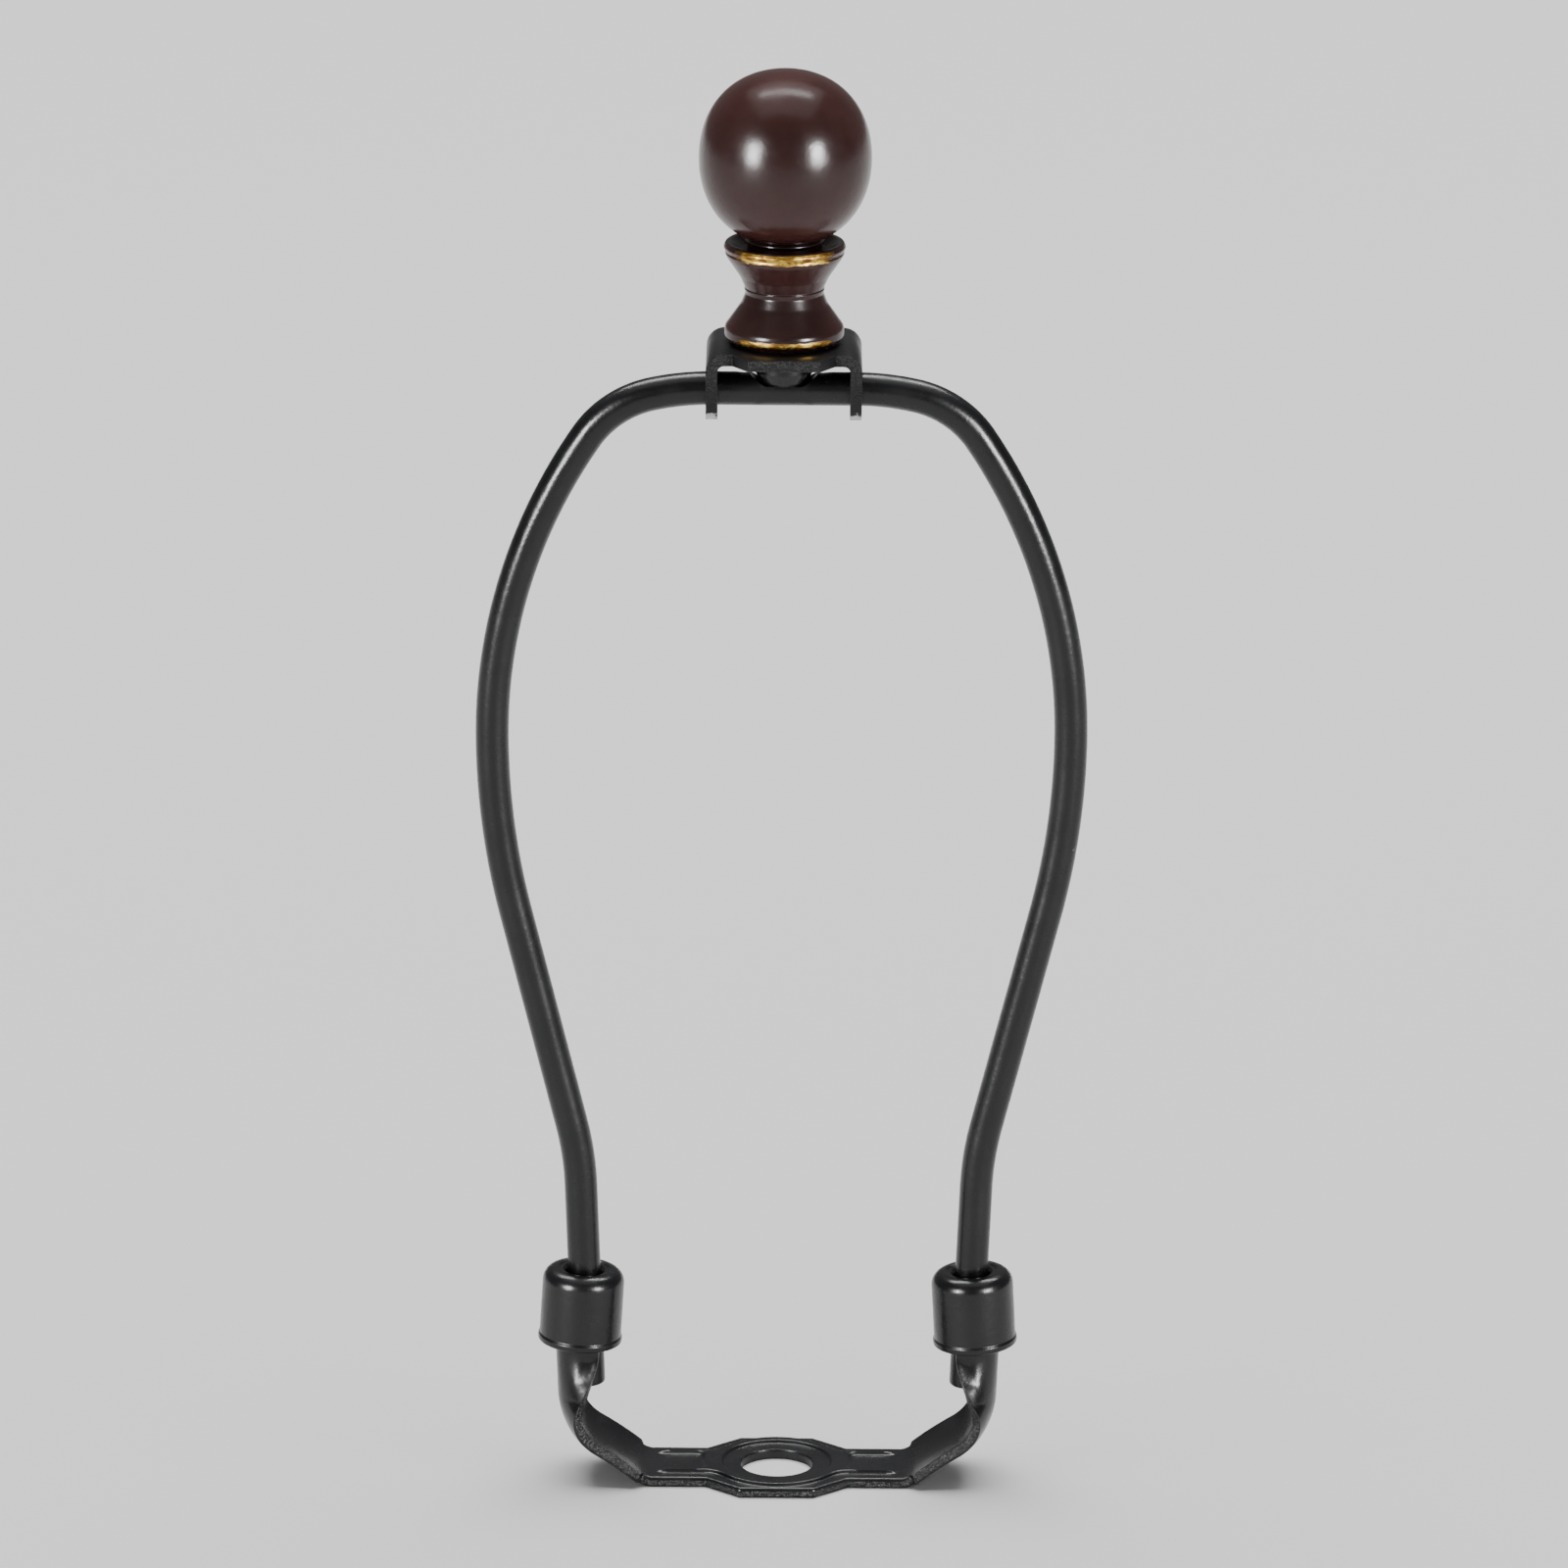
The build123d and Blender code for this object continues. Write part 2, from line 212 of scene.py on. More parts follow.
def round_edges(
    bm: bmesh.types.BMesh,
    edges: list[bmesh.types.BMEdge],
    radius: float,
    segments: int,
    clamped: bool = False,
) -> None:
    """Rounds edges over.

    Args:
        bm: the mesh to work in.
        edges: the edges.
        radius: how far the rounding reaches.
        segments: the steps of the rounding.
        clamped: whether a rounding that has no room is made smaller.
    """
    bmesh.ops.bevel(
        bm,
        geom=edges,
        offset=radius,
        segments=segments,
        profile=0.5,
        affect="EDGES",
        clamp_overlap=clamped,
        material=-1,
    )


def dress(
    bm: bmesh.types.BMesh,
    name: str,
    finish: bpy.types.Material,
    body: str,
    node: str,
    sharp: float = 40.0,
) -> bpy.types.Object:
    """Turns a mesh in millimetres into a piece that rides on a body and stands for a node.

    Args:
        bm: the mesh, which is used up.
        name: the piece's name.
        finish: its material.
        body: the body that it rides on.
        node: the node that it replaces.
        sharp: the angle in degrees past which an edge is shaded as a crease.

    Returns:
        The finished object, at the origin.
    """
    bmesh.ops.scale(bm, vec=(MM, MM, MM), verts=bm.verts)
    mesh = bpy.data.meshes.new(name)
    bm.to_mesh(mesh)
    bm.free()
    mesh.polygons.foreach_set("use_smooth", [True] * len(mesh.polygons))
    mesh.set_sharp_from_angle(angle=math.radians(sharp))
    mesh.materials.append(finish)
    piece = bpy.data.objects.new(name, mesh)
    bpy.context.scene.collection.objects.link(piece)
    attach(piece, body)
    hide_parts(node)
    mesh.calc_loop_triangles()
    LOG.info("%s: %d triangles, stands for %s on %s", name, len(mesh.loop_triangles), node, body)
    return piece


# Shader building


@dataclass
class Shader:
    """A small helper that adds nodes to one tree and joins them.

    Attributes:
        tree: the node tree that it works on.
    """

    tree: bpy.types.NodeTree

    def node(self, kind: str, **values: object) -> bpy.types.Node:
        """Adds a node.

        Args:
            kind: the node's type, without its ShaderNode prefix.
            values: its settings; a name in capitals at the start is an input socket's value.

        Returns:
            The new node.
        """
        made = self.tree.nodes.new("ShaderNode" + kind)
        for key, value in values.items():
            if key[0].isupper():
                made.inputs[key.replace("_", " ")].default_value = value
            else:
                setattr(made, key, value)
        return made

    def join(self, source: bpy.types.NodeSocket, target: bpy.types.NodeSocket) -> None:
        """Links an output to an input."""
        self.tree.links.new(source, target)

    def maths(
        self, operation: str, first: Number, second: Number = 0.0, limit: bool = False
    ) -> bpy.types.NodeSocket:
        """Adds a Math node.

        Args:
            operation: its operation.
            first: a number or a socket.
            second: a number or a socket.
            limit: whether the result is clamped to 0 to 1.

        Returns:
            Its output.
        """
        made = self.node("Math", operation=operation, use_clamp=limit)
        for socket, value in zip(made.inputs, (first, second)):
            if isinstance(value, bpy.types.NodeSocket):
                self.join(value, socket)
            else:
                socket.default_value = value
        return made.outputs[0]

    def scale_add(
        self, value: bpy.types.NodeSocket, factor: float, addend: Number
    ) -> bpy.types.NodeSocket:
        """Multiplies a value and adds to it.

        Args:
            value: the socket to multiply.
            factor: what it is multiplied by.
            addend: what is added, a number or a socket.

        Returns:
            The sum.
        """
        total = self.maths("MULTIPLY_ADD", value, factor)
        if isinstance(addend, bpy.types.NodeSocket):
            self.join(addend, total.node.inputs[2])
        else:
            total.node.inputs[2].default_value = addend
        return total

    def ramp(
        self,
        value: bpy.types.NodeSocket,
        low: float,
        high: float,
        to_low: float = 0.0,
        to_high: float = 1.0,
    ) -> bpy.types.NodeSocket:
        """Maps a range of a value smoothly onto another.

        Args:
            value: the socket to map.
            low: where the range starts.
            high: where it ends.
            to_low: the result at its start.
            to_high: the result at its end.

        Returns:
            The mapped value.
        """
        made = self.node(
            "MapRange",
            interpolation_type="SMOOTHSTEP",
            From_Min=low,
            From_Max=high,
            To_Min=to_low,
            To_Max=to_high,
        )
        self.join(value, made.inputs["Value"])
        return made.outputs["Result"]

    def blend(
        self,
        share: Number,
        first: Colour | bpy.types.NodeSocket,
        second: Colour | bpy.types.NodeSocket,
    ) -> bpy.types.NodeSocket:
        """Mixes two colours.

        Args:
            share: how much of the second, a number or a socket.
            first: the first colour, or a socket.
            second: the second colour, or a socket.

        Returns:
            The mixed colour.
        """
        made = self.tree.nodes.new("ShaderNodeMix")
        made.data_type = "RGBA"
        sockets = (made.inputs[0], made.inputs[6], made.inputs[7])
        for socket, value in zip(sockets, (share, first, second)):
            if isinstance(value, bpy.types.NodeSocket):
                self.join(value, socket)
            elif isinstance(value, tuple):
                socket.default_value = (*value, 1.0)
            else:
                socket.default_value = value
        return made.outputs[2]

    def finish_relief(
        self, relief: bpy.types.NodeSocket, depth: float, target: bpy.types.NodeSocket
    ) -> None:
        """Turns a height into a bumped normal.

        Args:
            relief: the height, where 1 is the full depth.
            depth: that depth, in millimetres.
            target: the normal socket.
        """
        bump = self.node("Bump", Strength=1.0, Distance=depth * MM)
        self.join(relief, bump.inputs["Height"])
        self.join(bump.outputs["Normal"], target)


def new_group(
    name: str, inputs: dict[str, float], outputs: Sequence[str]
) -> tuple[Shader, bpy.types.Node, bpy.types.Node]:
    """Starts a shader node group with named number sockets.

    Args:
        name: the group's name.
        inputs: its inputs and their first values.
        outputs: its outputs.

    Returns:
        A helper on its tree, its input node and its output node.
    """
    tree = bpy.data.node_groups.new(name, "ShaderNodeTree")
    for label, value in inputs.items():
        socket = tree.interface.new_socket(label, in_out="INPUT", socket_type="NodeSocketFloat")
        socket.default_value = value
    for label in outputs:
        tree.interface.new_socket(label, in_out="OUTPUT", socket_type="NodeSocketFloat")
    shader = Shader(tree)
    return shader, tree.nodes.new("NodeGroupInput"), tree.nodes.new("NodeGroupOutput")


def surface_grain() -> bpy.types.NodeTree:
    """Builds the fine mottle and grain that all the finishes share.

    Returns:
        A group with Scale in; Mottle, Speckle and Height out, each from 0 to 1.
    """
    layers = {"Mottle": (140.0, 4.0), "Speckle": (2600.0, 2.0), "Height": (900.0, 5.0)}
    darkest, brightest = 0.28, 0.72
    shader, source, target = new_group("surface grain", {"Scale": 1.0}, tuple(layers))
    place = shader.node("TexCoord").outputs["Object"]
    for label, (scale, detail) in layers.items():
        cloud = shader.node("TexNoise", Detail=detail, Roughness=0.6)
        shader.join(place, cloud.inputs["Vector"])
        shader.join(shader.maths("MULTIPLY", source.outputs["Scale"], scale), cloud.inputs["Scale"])
        shader.join(shader.ramp(cloud.outputs["Fac"], darkest, brightest), target.inputs[label])
    return shader.tree


def chip_and_sheen_group() -> bpy.types.NodeTree:
    """Builds a mask of a small pale spot about one point, for chipped blacking and for painted
    reflections.

    Returns:
        A group with the spot's X, Y, Z and Radius in metres in, and Mask out.
    """
    raggedness = 1.6
    outside, inside = 0.9, 0.6
    spot = {"X": 0.0, "Y": 0.0, "Z": 0.0, "Radius": MM}
    shader, source, target = new_group("chipped spot", spot, ("Mask",))
    place = shader.node("TexCoord").outputs["Object"]
    centre = shader.node("CombineXYZ")
    for label in ("X", "Y", "Z"):
        shader.join(source.outputs[label], centre.inputs[label])
    away = shader.node("VectorMath", operation="DISTANCE")
    shader.join(place, away.inputs[0])
    shader.join(centre.outputs["Vector"], away.inputs[1])
    ragged = shader.node("TexNoise", Scale=1500.0, Detail=3.0)
    shader.join(place, ragged.inputs["Vector"])
    near = shader.maths("DIVIDE", away.outputs["Value"], source.outputs["Radius"])
    wander = shader.scale_add(ragged.outputs["Fac"], raggedness, -raggedness / 2)
    reach = shader.maths("ADD", near, wander)
    shader.join(shader.ramp(reach, outside, inside), target.inputs["Mask"])
    return shader.tree


# Finishes


def new_finish(
    name: str, colour: Colour, ior: float
) -> tuple[bpy.types.Material, Shader, bpy.types.Node]:
    """Starts a material.

    Args:
        name: its name.
        colour: its colour in a plain viewport.
        ior: its index of refraction.

    Returns:
        The material, a helper on its tree, and its shader node.
    """
    material = bpy.data.materials.new(name)
    material.use_nodes = True
    material.diffuse_color = (*colour, 1.0)
    principled = material.node_tree.nodes["Principled BSDF"]
    principled.inputs["IOR"].default_value = ior
    return material, Shader(material.node_tree), principled


@dataclass(frozen=True)
class ChipAndSheenSpot:
    """A small pale spot in the blacking, as the photograph shows it, used both for chipped blacking
    and for painted reflections of light.

    Attributes:
        place: its centre, in millimetres.
        radius: its size.
    """

    place: Place
    radius: float


@dataclass(frozen=True)
class BlackenedSteel:
    """Black plating on steel, semi-gloss, with a rougher sheared edge where the piece has one.

    Attributes:
        name: the material's name.
        colour: the plating.
        mottle: how many times as bright the plating is in its palest spots.
        shear_colour: the torn metal of a sheared edge.
        chip_and_sheen_colour: the paler metal where the blacking is chipped off, and the pale
            colour of a painted reflection.
        roughness_low: the roughness of its smooth spots.
        roughness_high: the roughness of its dull spots.
        shear_roughness: how much rougher a sheared edge is.
        ior: the index of refraction, which sets how much the plating mirrors.
        grain: how deep the grain's bump is, in millimetres.
        shear_relief: how deep the speckle of a sheared edge is, in depths of the grain.
        spots: the chipped spots, and the spots of painted reflection.
    """

    name: str
    colour: Colour = (0.0054, 0.0057, 0.007)
    mottle: float = 1.35
    shear_colour: Colour = (0.009, 0.009, 0.0092)
    chip_and_sheen_colour: Colour = (0.3, 0.29, 0.28)
    roughness_low: float = 0.24
    roughness_high: float = 0.3
    shear_roughness: float = 0.04
    ior: float = 1.42
    grain: float = 0.012
    shear_relief: float = 13.0
    spots: tuple[ChipAndSheenSpot, ...] = ()

    def build(
        self, grain_tree: bpy.types.NodeTree, chip_and_sheen_tree: bpy.types.NodeTree
    ) -> bpy.types.Material:
        """Builds the material.

        Args:
            grain_tree: the shared grain group.
            chip_and_sheen_tree: the shared group of a pale spot, for chipped blacking and for
                painted reflections.

        Returns:
            The material.
        """
        material, shader, principled = new_finish(self.name, self.colour, self.ior)
        grain = shader.node("Group", node_tree=grain_tree)
        sheared = shader.node("Attribute", attribute_name=SHEARED).outputs["Fac"]
        torn = shader.maths("MULTIPLY", sheared, grain.outputs["Speckle"], limit=True)
        pale = tuple(self.mottle * part for part in self.colour)
        colour = shader.blend(grain.outputs["Mottle"], self.colour, pale)
        colour = shader.blend(torn, colour, self.shear_colour)
        # Each spot paints the pale colour in: real wear where the blacking is chipped, and a
        # painted reflection of light on the clip's ear tips.
        for spot in self.spots:
            chip_and_sheen_mask = shader.node("Group", node_tree=chip_and_sheen_tree)
            for label, value in zip(("X", "Y", "Z"), spot.place):
                chip_and_sheen_mask.inputs[label].default_value = value * MM
            chip_and_sheen_mask.inputs["Radius"].default_value = spot.radius * MM
            colour = shader.blend(chip_and_sheen_mask.outputs["Mask"], colour, self.chip_and_sheen_colour)
        shader.join(colour, principled.inputs["Base Color"])
        low, high = self.roughness_low, self.roughness_high
        plain = shader.ramp(grain.outputs["Mottle"], 0.0, 1.0, low, high)
        rough = shader.scale_add(sheared, self.shear_roughness, plain)
        shader.join(rough, principled.inputs["Roughness"])
        relief = shader.scale_add(torn, self.shear_relief, grain.outputs["Height"])
        shader.finish_relief(relief, self.grain, principled.inputs["Normal"])
        return material


@dataclass(frozen=True)
class GiltResin:
    """Dark brown glossy resin with worn gold on the rims.

    Attributes:
        name: the material's name.
        base: the height of the finial's base, in millimetres.
        bands: low height, high height and least radius of each gilt band, above the base.
        band_edge: the width over which the edge of a band fades, in millimetres.
        wander: how far a band's edges wander up and down in all, in millimetres.
        smear: how many times as short the smears of wear are upwards as sideways.
        gilt_thin_sides: where the gilding starts to thin and brown towards either side in X,
            and where it is thinnest.
        side_thinning: how much more the gilding is thinned there.
        worn: the smear at which the gilding is gone, and at which it is whole.
        browned: the smear at which the gold is brown, and at which it is bright.
        dark: the darker brown.
        warm: the warmer brown.
        gold: the bright gold.
        old_gold: the browner gold.
        metal: how metallic the gold is.
        gloss: the least and most roughness of the resin.
        gilt_roughness: how much rougher the gold is.
        ior: the index of refraction.
        grain: how deep the grain's bump is, in millimetres.
        gilt_relief: how high the gold stands, in depths of the grain.
    """

    name: str
    base: float
    bands: tuple[tuple[float, float, float], ...] = ((12.7, 14.4, 8.1), (0.8, 1.75, 7.8))
    band_edge: float = 0.2
    wander: float = 0.9
    smear: float = 2.2
    gilt_thin_sides: Point = (5.4, 7.9)
    side_thinning: float = 0.3
    worn: Point = (0.3, 0.4)
    browned: Point = (0.42, 0.62)
    dark: Colour = (0.05, 0.0165, 0.0148)
    warm: Colour = (0.062, 0.021, 0.0185)
    gold: Colour = (0.74, 0.5, 0.1)
    old_gold: Colour = (0.2, 0.095, 0.016)
    metal: float = 0.9
    gloss: Point = (0.2, 0.27)
    gilt_roughness: float = 0.1
    ior: float = 1.42
    grain: float = 0.006
    gilt_relief: float = 3.0

    def gilding(
        self, shader: Shader, smear: bpy.types.NodeSocket
    ) -> tuple[bpy.types.NodeSocket, bpy.types.NodeSocket]:
        """Masks the gilt bands, wears them down and thins them towards either side in X.

        Args:
            shader: the helper on the material's tree.
            smear: the smears of wear.

        Returns:
            How much gold is left, and the smears with the wear of the sides taken off.
        """
        parts = shader.node("SeparateXYZ")
        shader.join(shader.node("TexCoord").outputs["Object"], parts.inputs["Vector"])
        squares = [shader.maths("POWER", parts.outputs[label], 2.0) for label in ("X", "Y")]
        across = shader.maths("SQRT", shader.maths("ADD", *squares))
        wander = shader.scale_add(smear, self.wander * MM, -self.wander / 2 * MM)
        height = shader.maths("ADD", parts.outputs["Z"], wander)
        soft = self.band_edge * MM
        gilt: Number = 0.0
        for low, high, radius in self.bands:
            foot, top = (self.base + low) * MM, (self.base + high) * MM
            over = shader.ramp(height, foot, foot + soft)
            under = shader.ramp(height, top, top - soft)
            inside = shader.maths("MULTIPLY", over, under)
            outer = shader.ramp(across, radius * MM - soft, radius * MM)
            band = shader.maths("MULTIPLY", inside, outer)
            gilt = shader.maths("ADD", gilt, band, limit=True)
        # Lowers the smears towards either side in X, which thins and browns the gold there.
        near, far = (side * MM for side in self.gilt_thin_sides)
        distance = shader.maths("ABSOLUTE", parts.outputs["X"])
        aside = shader.ramp(distance, near, far, 0.0, self.side_thinning)
        patch = shader.maths("SUBTRACT", smear, aside)
        return shader.maths("MULTIPLY", gilt, shader.ramp(patch, *self.worn)), patch

    def build(self, grain_tree: bpy.types.NodeTree) -> bpy.types.Material:
        """Builds the material.

        Args:
            grain_tree: the shared grain group.

        Returns:
            The material.
        """
        material, shader, principled = new_finish(self.name, self.dark, self.ior)
        grain = shader.node("Group", node_tree=grain_tree)
        flat = shader.node("Mapping")
        flat.inputs["Scale"].default_value = (1.0, 1.0, self.smear)
        shader.join(shader.node("TexCoord").outputs["Object"], flat.inputs["Vector"])
        cloud = shader.node("TexNoise", Scale=700.0, Detail=6.0, Roughness=0.7)
        shader.join(flat.outputs["Vector"], cloud.inputs["Vector"])
        gilt, patch = self.gilding(shader, cloud.outputs["Fac"])
        brown = shader.blend(grain.outputs["Mottle"], self.dark, self.warm)
        golden = shader.blend(shader.ramp(patch, *self.browned), self.old_gold, self.gold)
        shader.join(shader.blend(gilt, brown, golden), principled.inputs["Base Color"])
        shader.join(shader.maths("MULTIPLY", gilt, self.metal), principled.inputs["Metallic"])
        plain = shader.ramp(grain.outputs["Mottle"], 0.0, 1.0, *self.gloss)
        rough = shader.scale_add(gilt, self.gilt_roughness, plain)
        shader.join(rough, principled.inputs["Roughness"])
        relief = shader.scale_add(gilt, self.gilt_relief, grain.outputs["Height"])
        shader.finish_relief(relief, self.grain, principled.inputs["Normal"])
        return material


# Harp wire


@dataclass(frozen=True)
class Stretch:
    """One stretch of the bent wire.

    Attributes:
        length: the length of a straight stretch.
        radius: the radius of a bend.
        turn: how far a bend turns, in degrees; positive turns down from the top middle outwards.
        step: the longest step of its mesh.
    """

    length: float = 0.0
    radius: float = 0.0
    turn: float = 0.0
    step: float = 1.2


@dataclass
class HarpWire:
    """The bent wire with its pressed pocket and rounded ends.

    Attributes:
        diameter: the wire's diameter.
        height: the height of its axis at the top.
        leg_spacing: from axis to axis at the legs' ends.
        leg_lean: how far each leg leans outwards going up, in degrees.
        end_height: the height of the legs' ends.
        end_rounding: the radius that rounds the ends off.
        top_straight: half the straight stretch at the top.
        crown: radius and turn in degrees of the bend next to it.
        shoulder: radius and turn of the tight bend above the wide side.
        waist: radius and turn of the bend below the wide side.
        foot_radius: the radius of the bend into the leg.
        foot_bend_height: the height where the straight leg starts.
        pocket_length: the length of the pressed pocket.
        pocket_width: its width.
        pocket_drop: how far its floor lies below the wire's axis.
        pocket_wall: the width of the wall inside its outline.
        pocket_spread: the share by which the pressed wire grows wider.
        pocket_rounding: how softly its lip is rounded.
        ring_segments: the sides of the wire's round section.
    """

    diameter: float = 4.76
    height: float = 163.9
    leg_spacing: float = 55.0
    leg_lean: float = 2.2
    end_height: float = 14.0
    end_rounding: float = 0.5
    top_straight: float = 10.2
    crown: Point = (38.7, 12.65)
    shoulder: Point = (15.15, 43.25)
    waist: Point = (110.0, 14.0)
    foot_radius: float = 47.0
    foot_bend_height: float = 44.5
    pocket_length: float = 9.6
    pocket_width: float = 5.2
    pocket_drop: float = 0.4
    pocket_wall: float = 0.8
    pocket_spread: float = 0.09
    pocket_rounding: float = 0.6
    ring_segments: int = 88

    def leg_x(self, height: float) -> float:
        """Distance from the middle to a leg's axis."""
        rise = height - self.end_height
        return self.leg_spacing / 2 + rise * math.tan(math.radians(self.leg_lean))

    @staticmethod
    def arc_reach(radius: float, start: float, end: float) -> Vector:
        """Works out how far an arc runs outwards and down.

        Args:
            radius: its radius.
            start: the heading at its start, in degrees below level.
            end: the heading at its end.

        Returns:
            The run and the drop.
        """
        sign = 1.0 if end > start else -1.0
        first, last = math.radians(start), math.radians(end)
        reach = Vector((math.sin(last) - math.sin(first), math.cos(first) - math.cos(last)))
        return reach * sign * radius

    def stretches(self) -> list[Stretch]:
        """Lists the stretches of the right half, from the top middle to the wire's end.

        Returns:
            The stretches, of which the wide side and the taper close the loop.
        """
        side_start = self.crown[1] + self.shoulder[1]
        taper_heading = 90.0 + self.waist[1]
        leg_heading = 90.0 + self.leg_lean
        arcs = self.arc_reach(self.crown[0], 0.0, self.crown[1])
        arcs += self.arc_reach(self.shoulder[0], self.crown[1], side_start)
        arcs += self.arc_reach(self.waist[0], 90.0, taper_heading)
        arcs += self.arc_reach(self.foot_radius, taper_heading, leg_heading)
        run = self.leg_x(self.foot_bend_height) - self.top_straight
        goal = Vector((run, self.height - self.foot_bend_height)) - arcs
        side = self.arc_reach(1.0, side_start, 90.0)
        taper_angle = math.radians(taper_heading)
        taper = Vector((math.cos(taper_angle), math.sin(taper_angle)))
        shared = side.x * taper.y - taper.x * side.y
        side_radius = (goal.x * taper.y - taper.x * goal.y) / shared
        taper_length = (side.x * goal.y - side.y * goal.x) / shared
        leg_rise = self.foot_bend_height - self.end_height
        leg_length = leg_rise / math.cos(math.radians(self.leg_lean))
        pocket_reach = self.pocket_length / 2 + self.pocket_wall
        return [
            Stretch(length=pocket_reach, step=0.13),
            Stretch(length=self.top_straight - pocket_reach),
            Stretch(radius=self.crown[0], turn=self.crown[1]),
            Stretch(radius=self.shoulder[0], turn=self.shoulder[1], step=0.6),
            Stretch(radius=side_radius, turn=90.0 - side_start),
            Stretch(radius=self.waist[0], turn=self.waist[1]),
            Stretch(length=taper_length, step=4.0),
            Stretch(radius=self.foot_radius, turn=leg_heading - taper_heading),
            Stretch(length=leg_length, step=4.0),
        ]

    def bend_up(self, bm: bmesh.types.BMesh) -> list[bmesh.types.BMEdge]:
        """Draws a ring along the stretches of the right half.

        Args:
            bm: the mesh to work in.

        Returns:
            The edges of the ring at the wire's end.
        """
        stand = Matrix.Translation((0.0, 0.0, self.height)) @ Matrix.Rotation(math.pi / 2, 4, "Y")
        radius = self.diameter / 2
        bmesh.ops.create_circle(bm, segments=self.ring_segments, radius=radius, matrix=stand)
        front = list(bm.edges)
        place, heading = Vector((0.0, 0.0, self.height)), 0.0
        for stretch in self.stretches():
            angle = math.radians(heading)
            if stretch.radius == 0.0:
                ahead = Vector((math.cos(angle), 0.0, -math.sin(angle)))
                steps = max(1, math.ceil(stretch.length / stretch.step))
                for _ in range(steps):
                    front, moved = grow(bm, front)
                    bmesh.ops.translate(bm, vec=ahead * stretch.length / steps, verts=moved)
                place += ahead * stretch.length
                continue
            sign = math.copysign(1.0, stretch.turn)
            inwards = Vector((-math.sin(angle), 0.0, -math.cos(angle)))
            centre = place + inwards * stretch.radius * sign
            turn = math.radians(stretch.turn)
            ring = list({vert for edge in front for vert in edge.verts})
            made = bmesh.ops.spin(
                bm,
                geom=ring + front,
                cent=centre,
                axis=(0.0, 1.0, 0.0),
                angle=turn,
                steps=max(2, math.ceil(abs(turn) * stretch.radius / stretch.step)),
            )["geom_last"]
            front = [part for part in made if isinstance(part, bmesh.types.BMEdge)]
            place = centre + Matrix.Rotation(turn, 3, "Y") @ (place - centre)
            heading += stretch.turn
        return front

    @staticmethod
    def soft_lower(first: float, second: float, rounding: float) -> float:
        """Takes the lower of two heights, with their meeting line rounded off.

        Args:
            first: one height.
            second: the other.
            rounding: how far apart they may be and still be blended.

        Returns:
            The lower height.
        """
        blend = clamp(0.5 + 0.5 * (second - first) / rounding)
        return second + (first - second) * blend - rounding * blend * (1 - blend)

    def press_pocket(self, bm: bmesh.types.BMesh) -> None:
        """Presses the flat pocket into the top, and lets the metal spread sideways a little.

        Args:
            bm: the mesh of the wire's right half.
        """
        floor = self.height - self.pocket_drop
        end_radius = self.pocket_width / 2
        straight = self.pocket_length / 2 - end_radius
        wall_height = self.diameter / 2 + self.pocket_drop
        pressed_x = straight + end_radius + self.pocket_wall
        for vert in bm.verts:
            if abs(vert.co.x) > pressed_x or vert.co.z < self.height - self.diameter:
                continue
            outside = math.hypot(max(abs(vert.co.x) - straight, 0.0), vert.co.y) - end_radius
            wall = ease((outside + self.pocket_wall) / self.pocket_wall, 0.0, wall_height)
            vert.co.y *= 1.0 + self.pocket_spread * ease(-outside / self.pocket_wall)
            vert.co.z = self.soft_lower(vert.co.z, floor + wall, self.pocket_rounding)

    def build(self, finish: bpy.types.Material) -> bpy.types.Object:
        """Builds and dresses the wire.

        Args:
            finish: its material.

        Returns:
            The wire.
        """
        bm = bmesh.new()
        rim = self.bend_up(bm)
        bmesh.ops.edgeloop_fill(bm, edges=rim)
        round_edges(bm, rim, self.end_rounding, segments=4)
        self.press_pocket(bm)
        everything = list(bm.verts) + list(bm.edges) + list(bm.faces)
        bmesh.ops.mirror(bm, geom=everything, axis="X", merge_dist=LOOSE_WELD)
        bmesh.ops.recalc_face_normals(bm, faces=bm.faces)
        return dress(bm, "bent_wire", finish, "harp", "harp_wire")


# Saddle


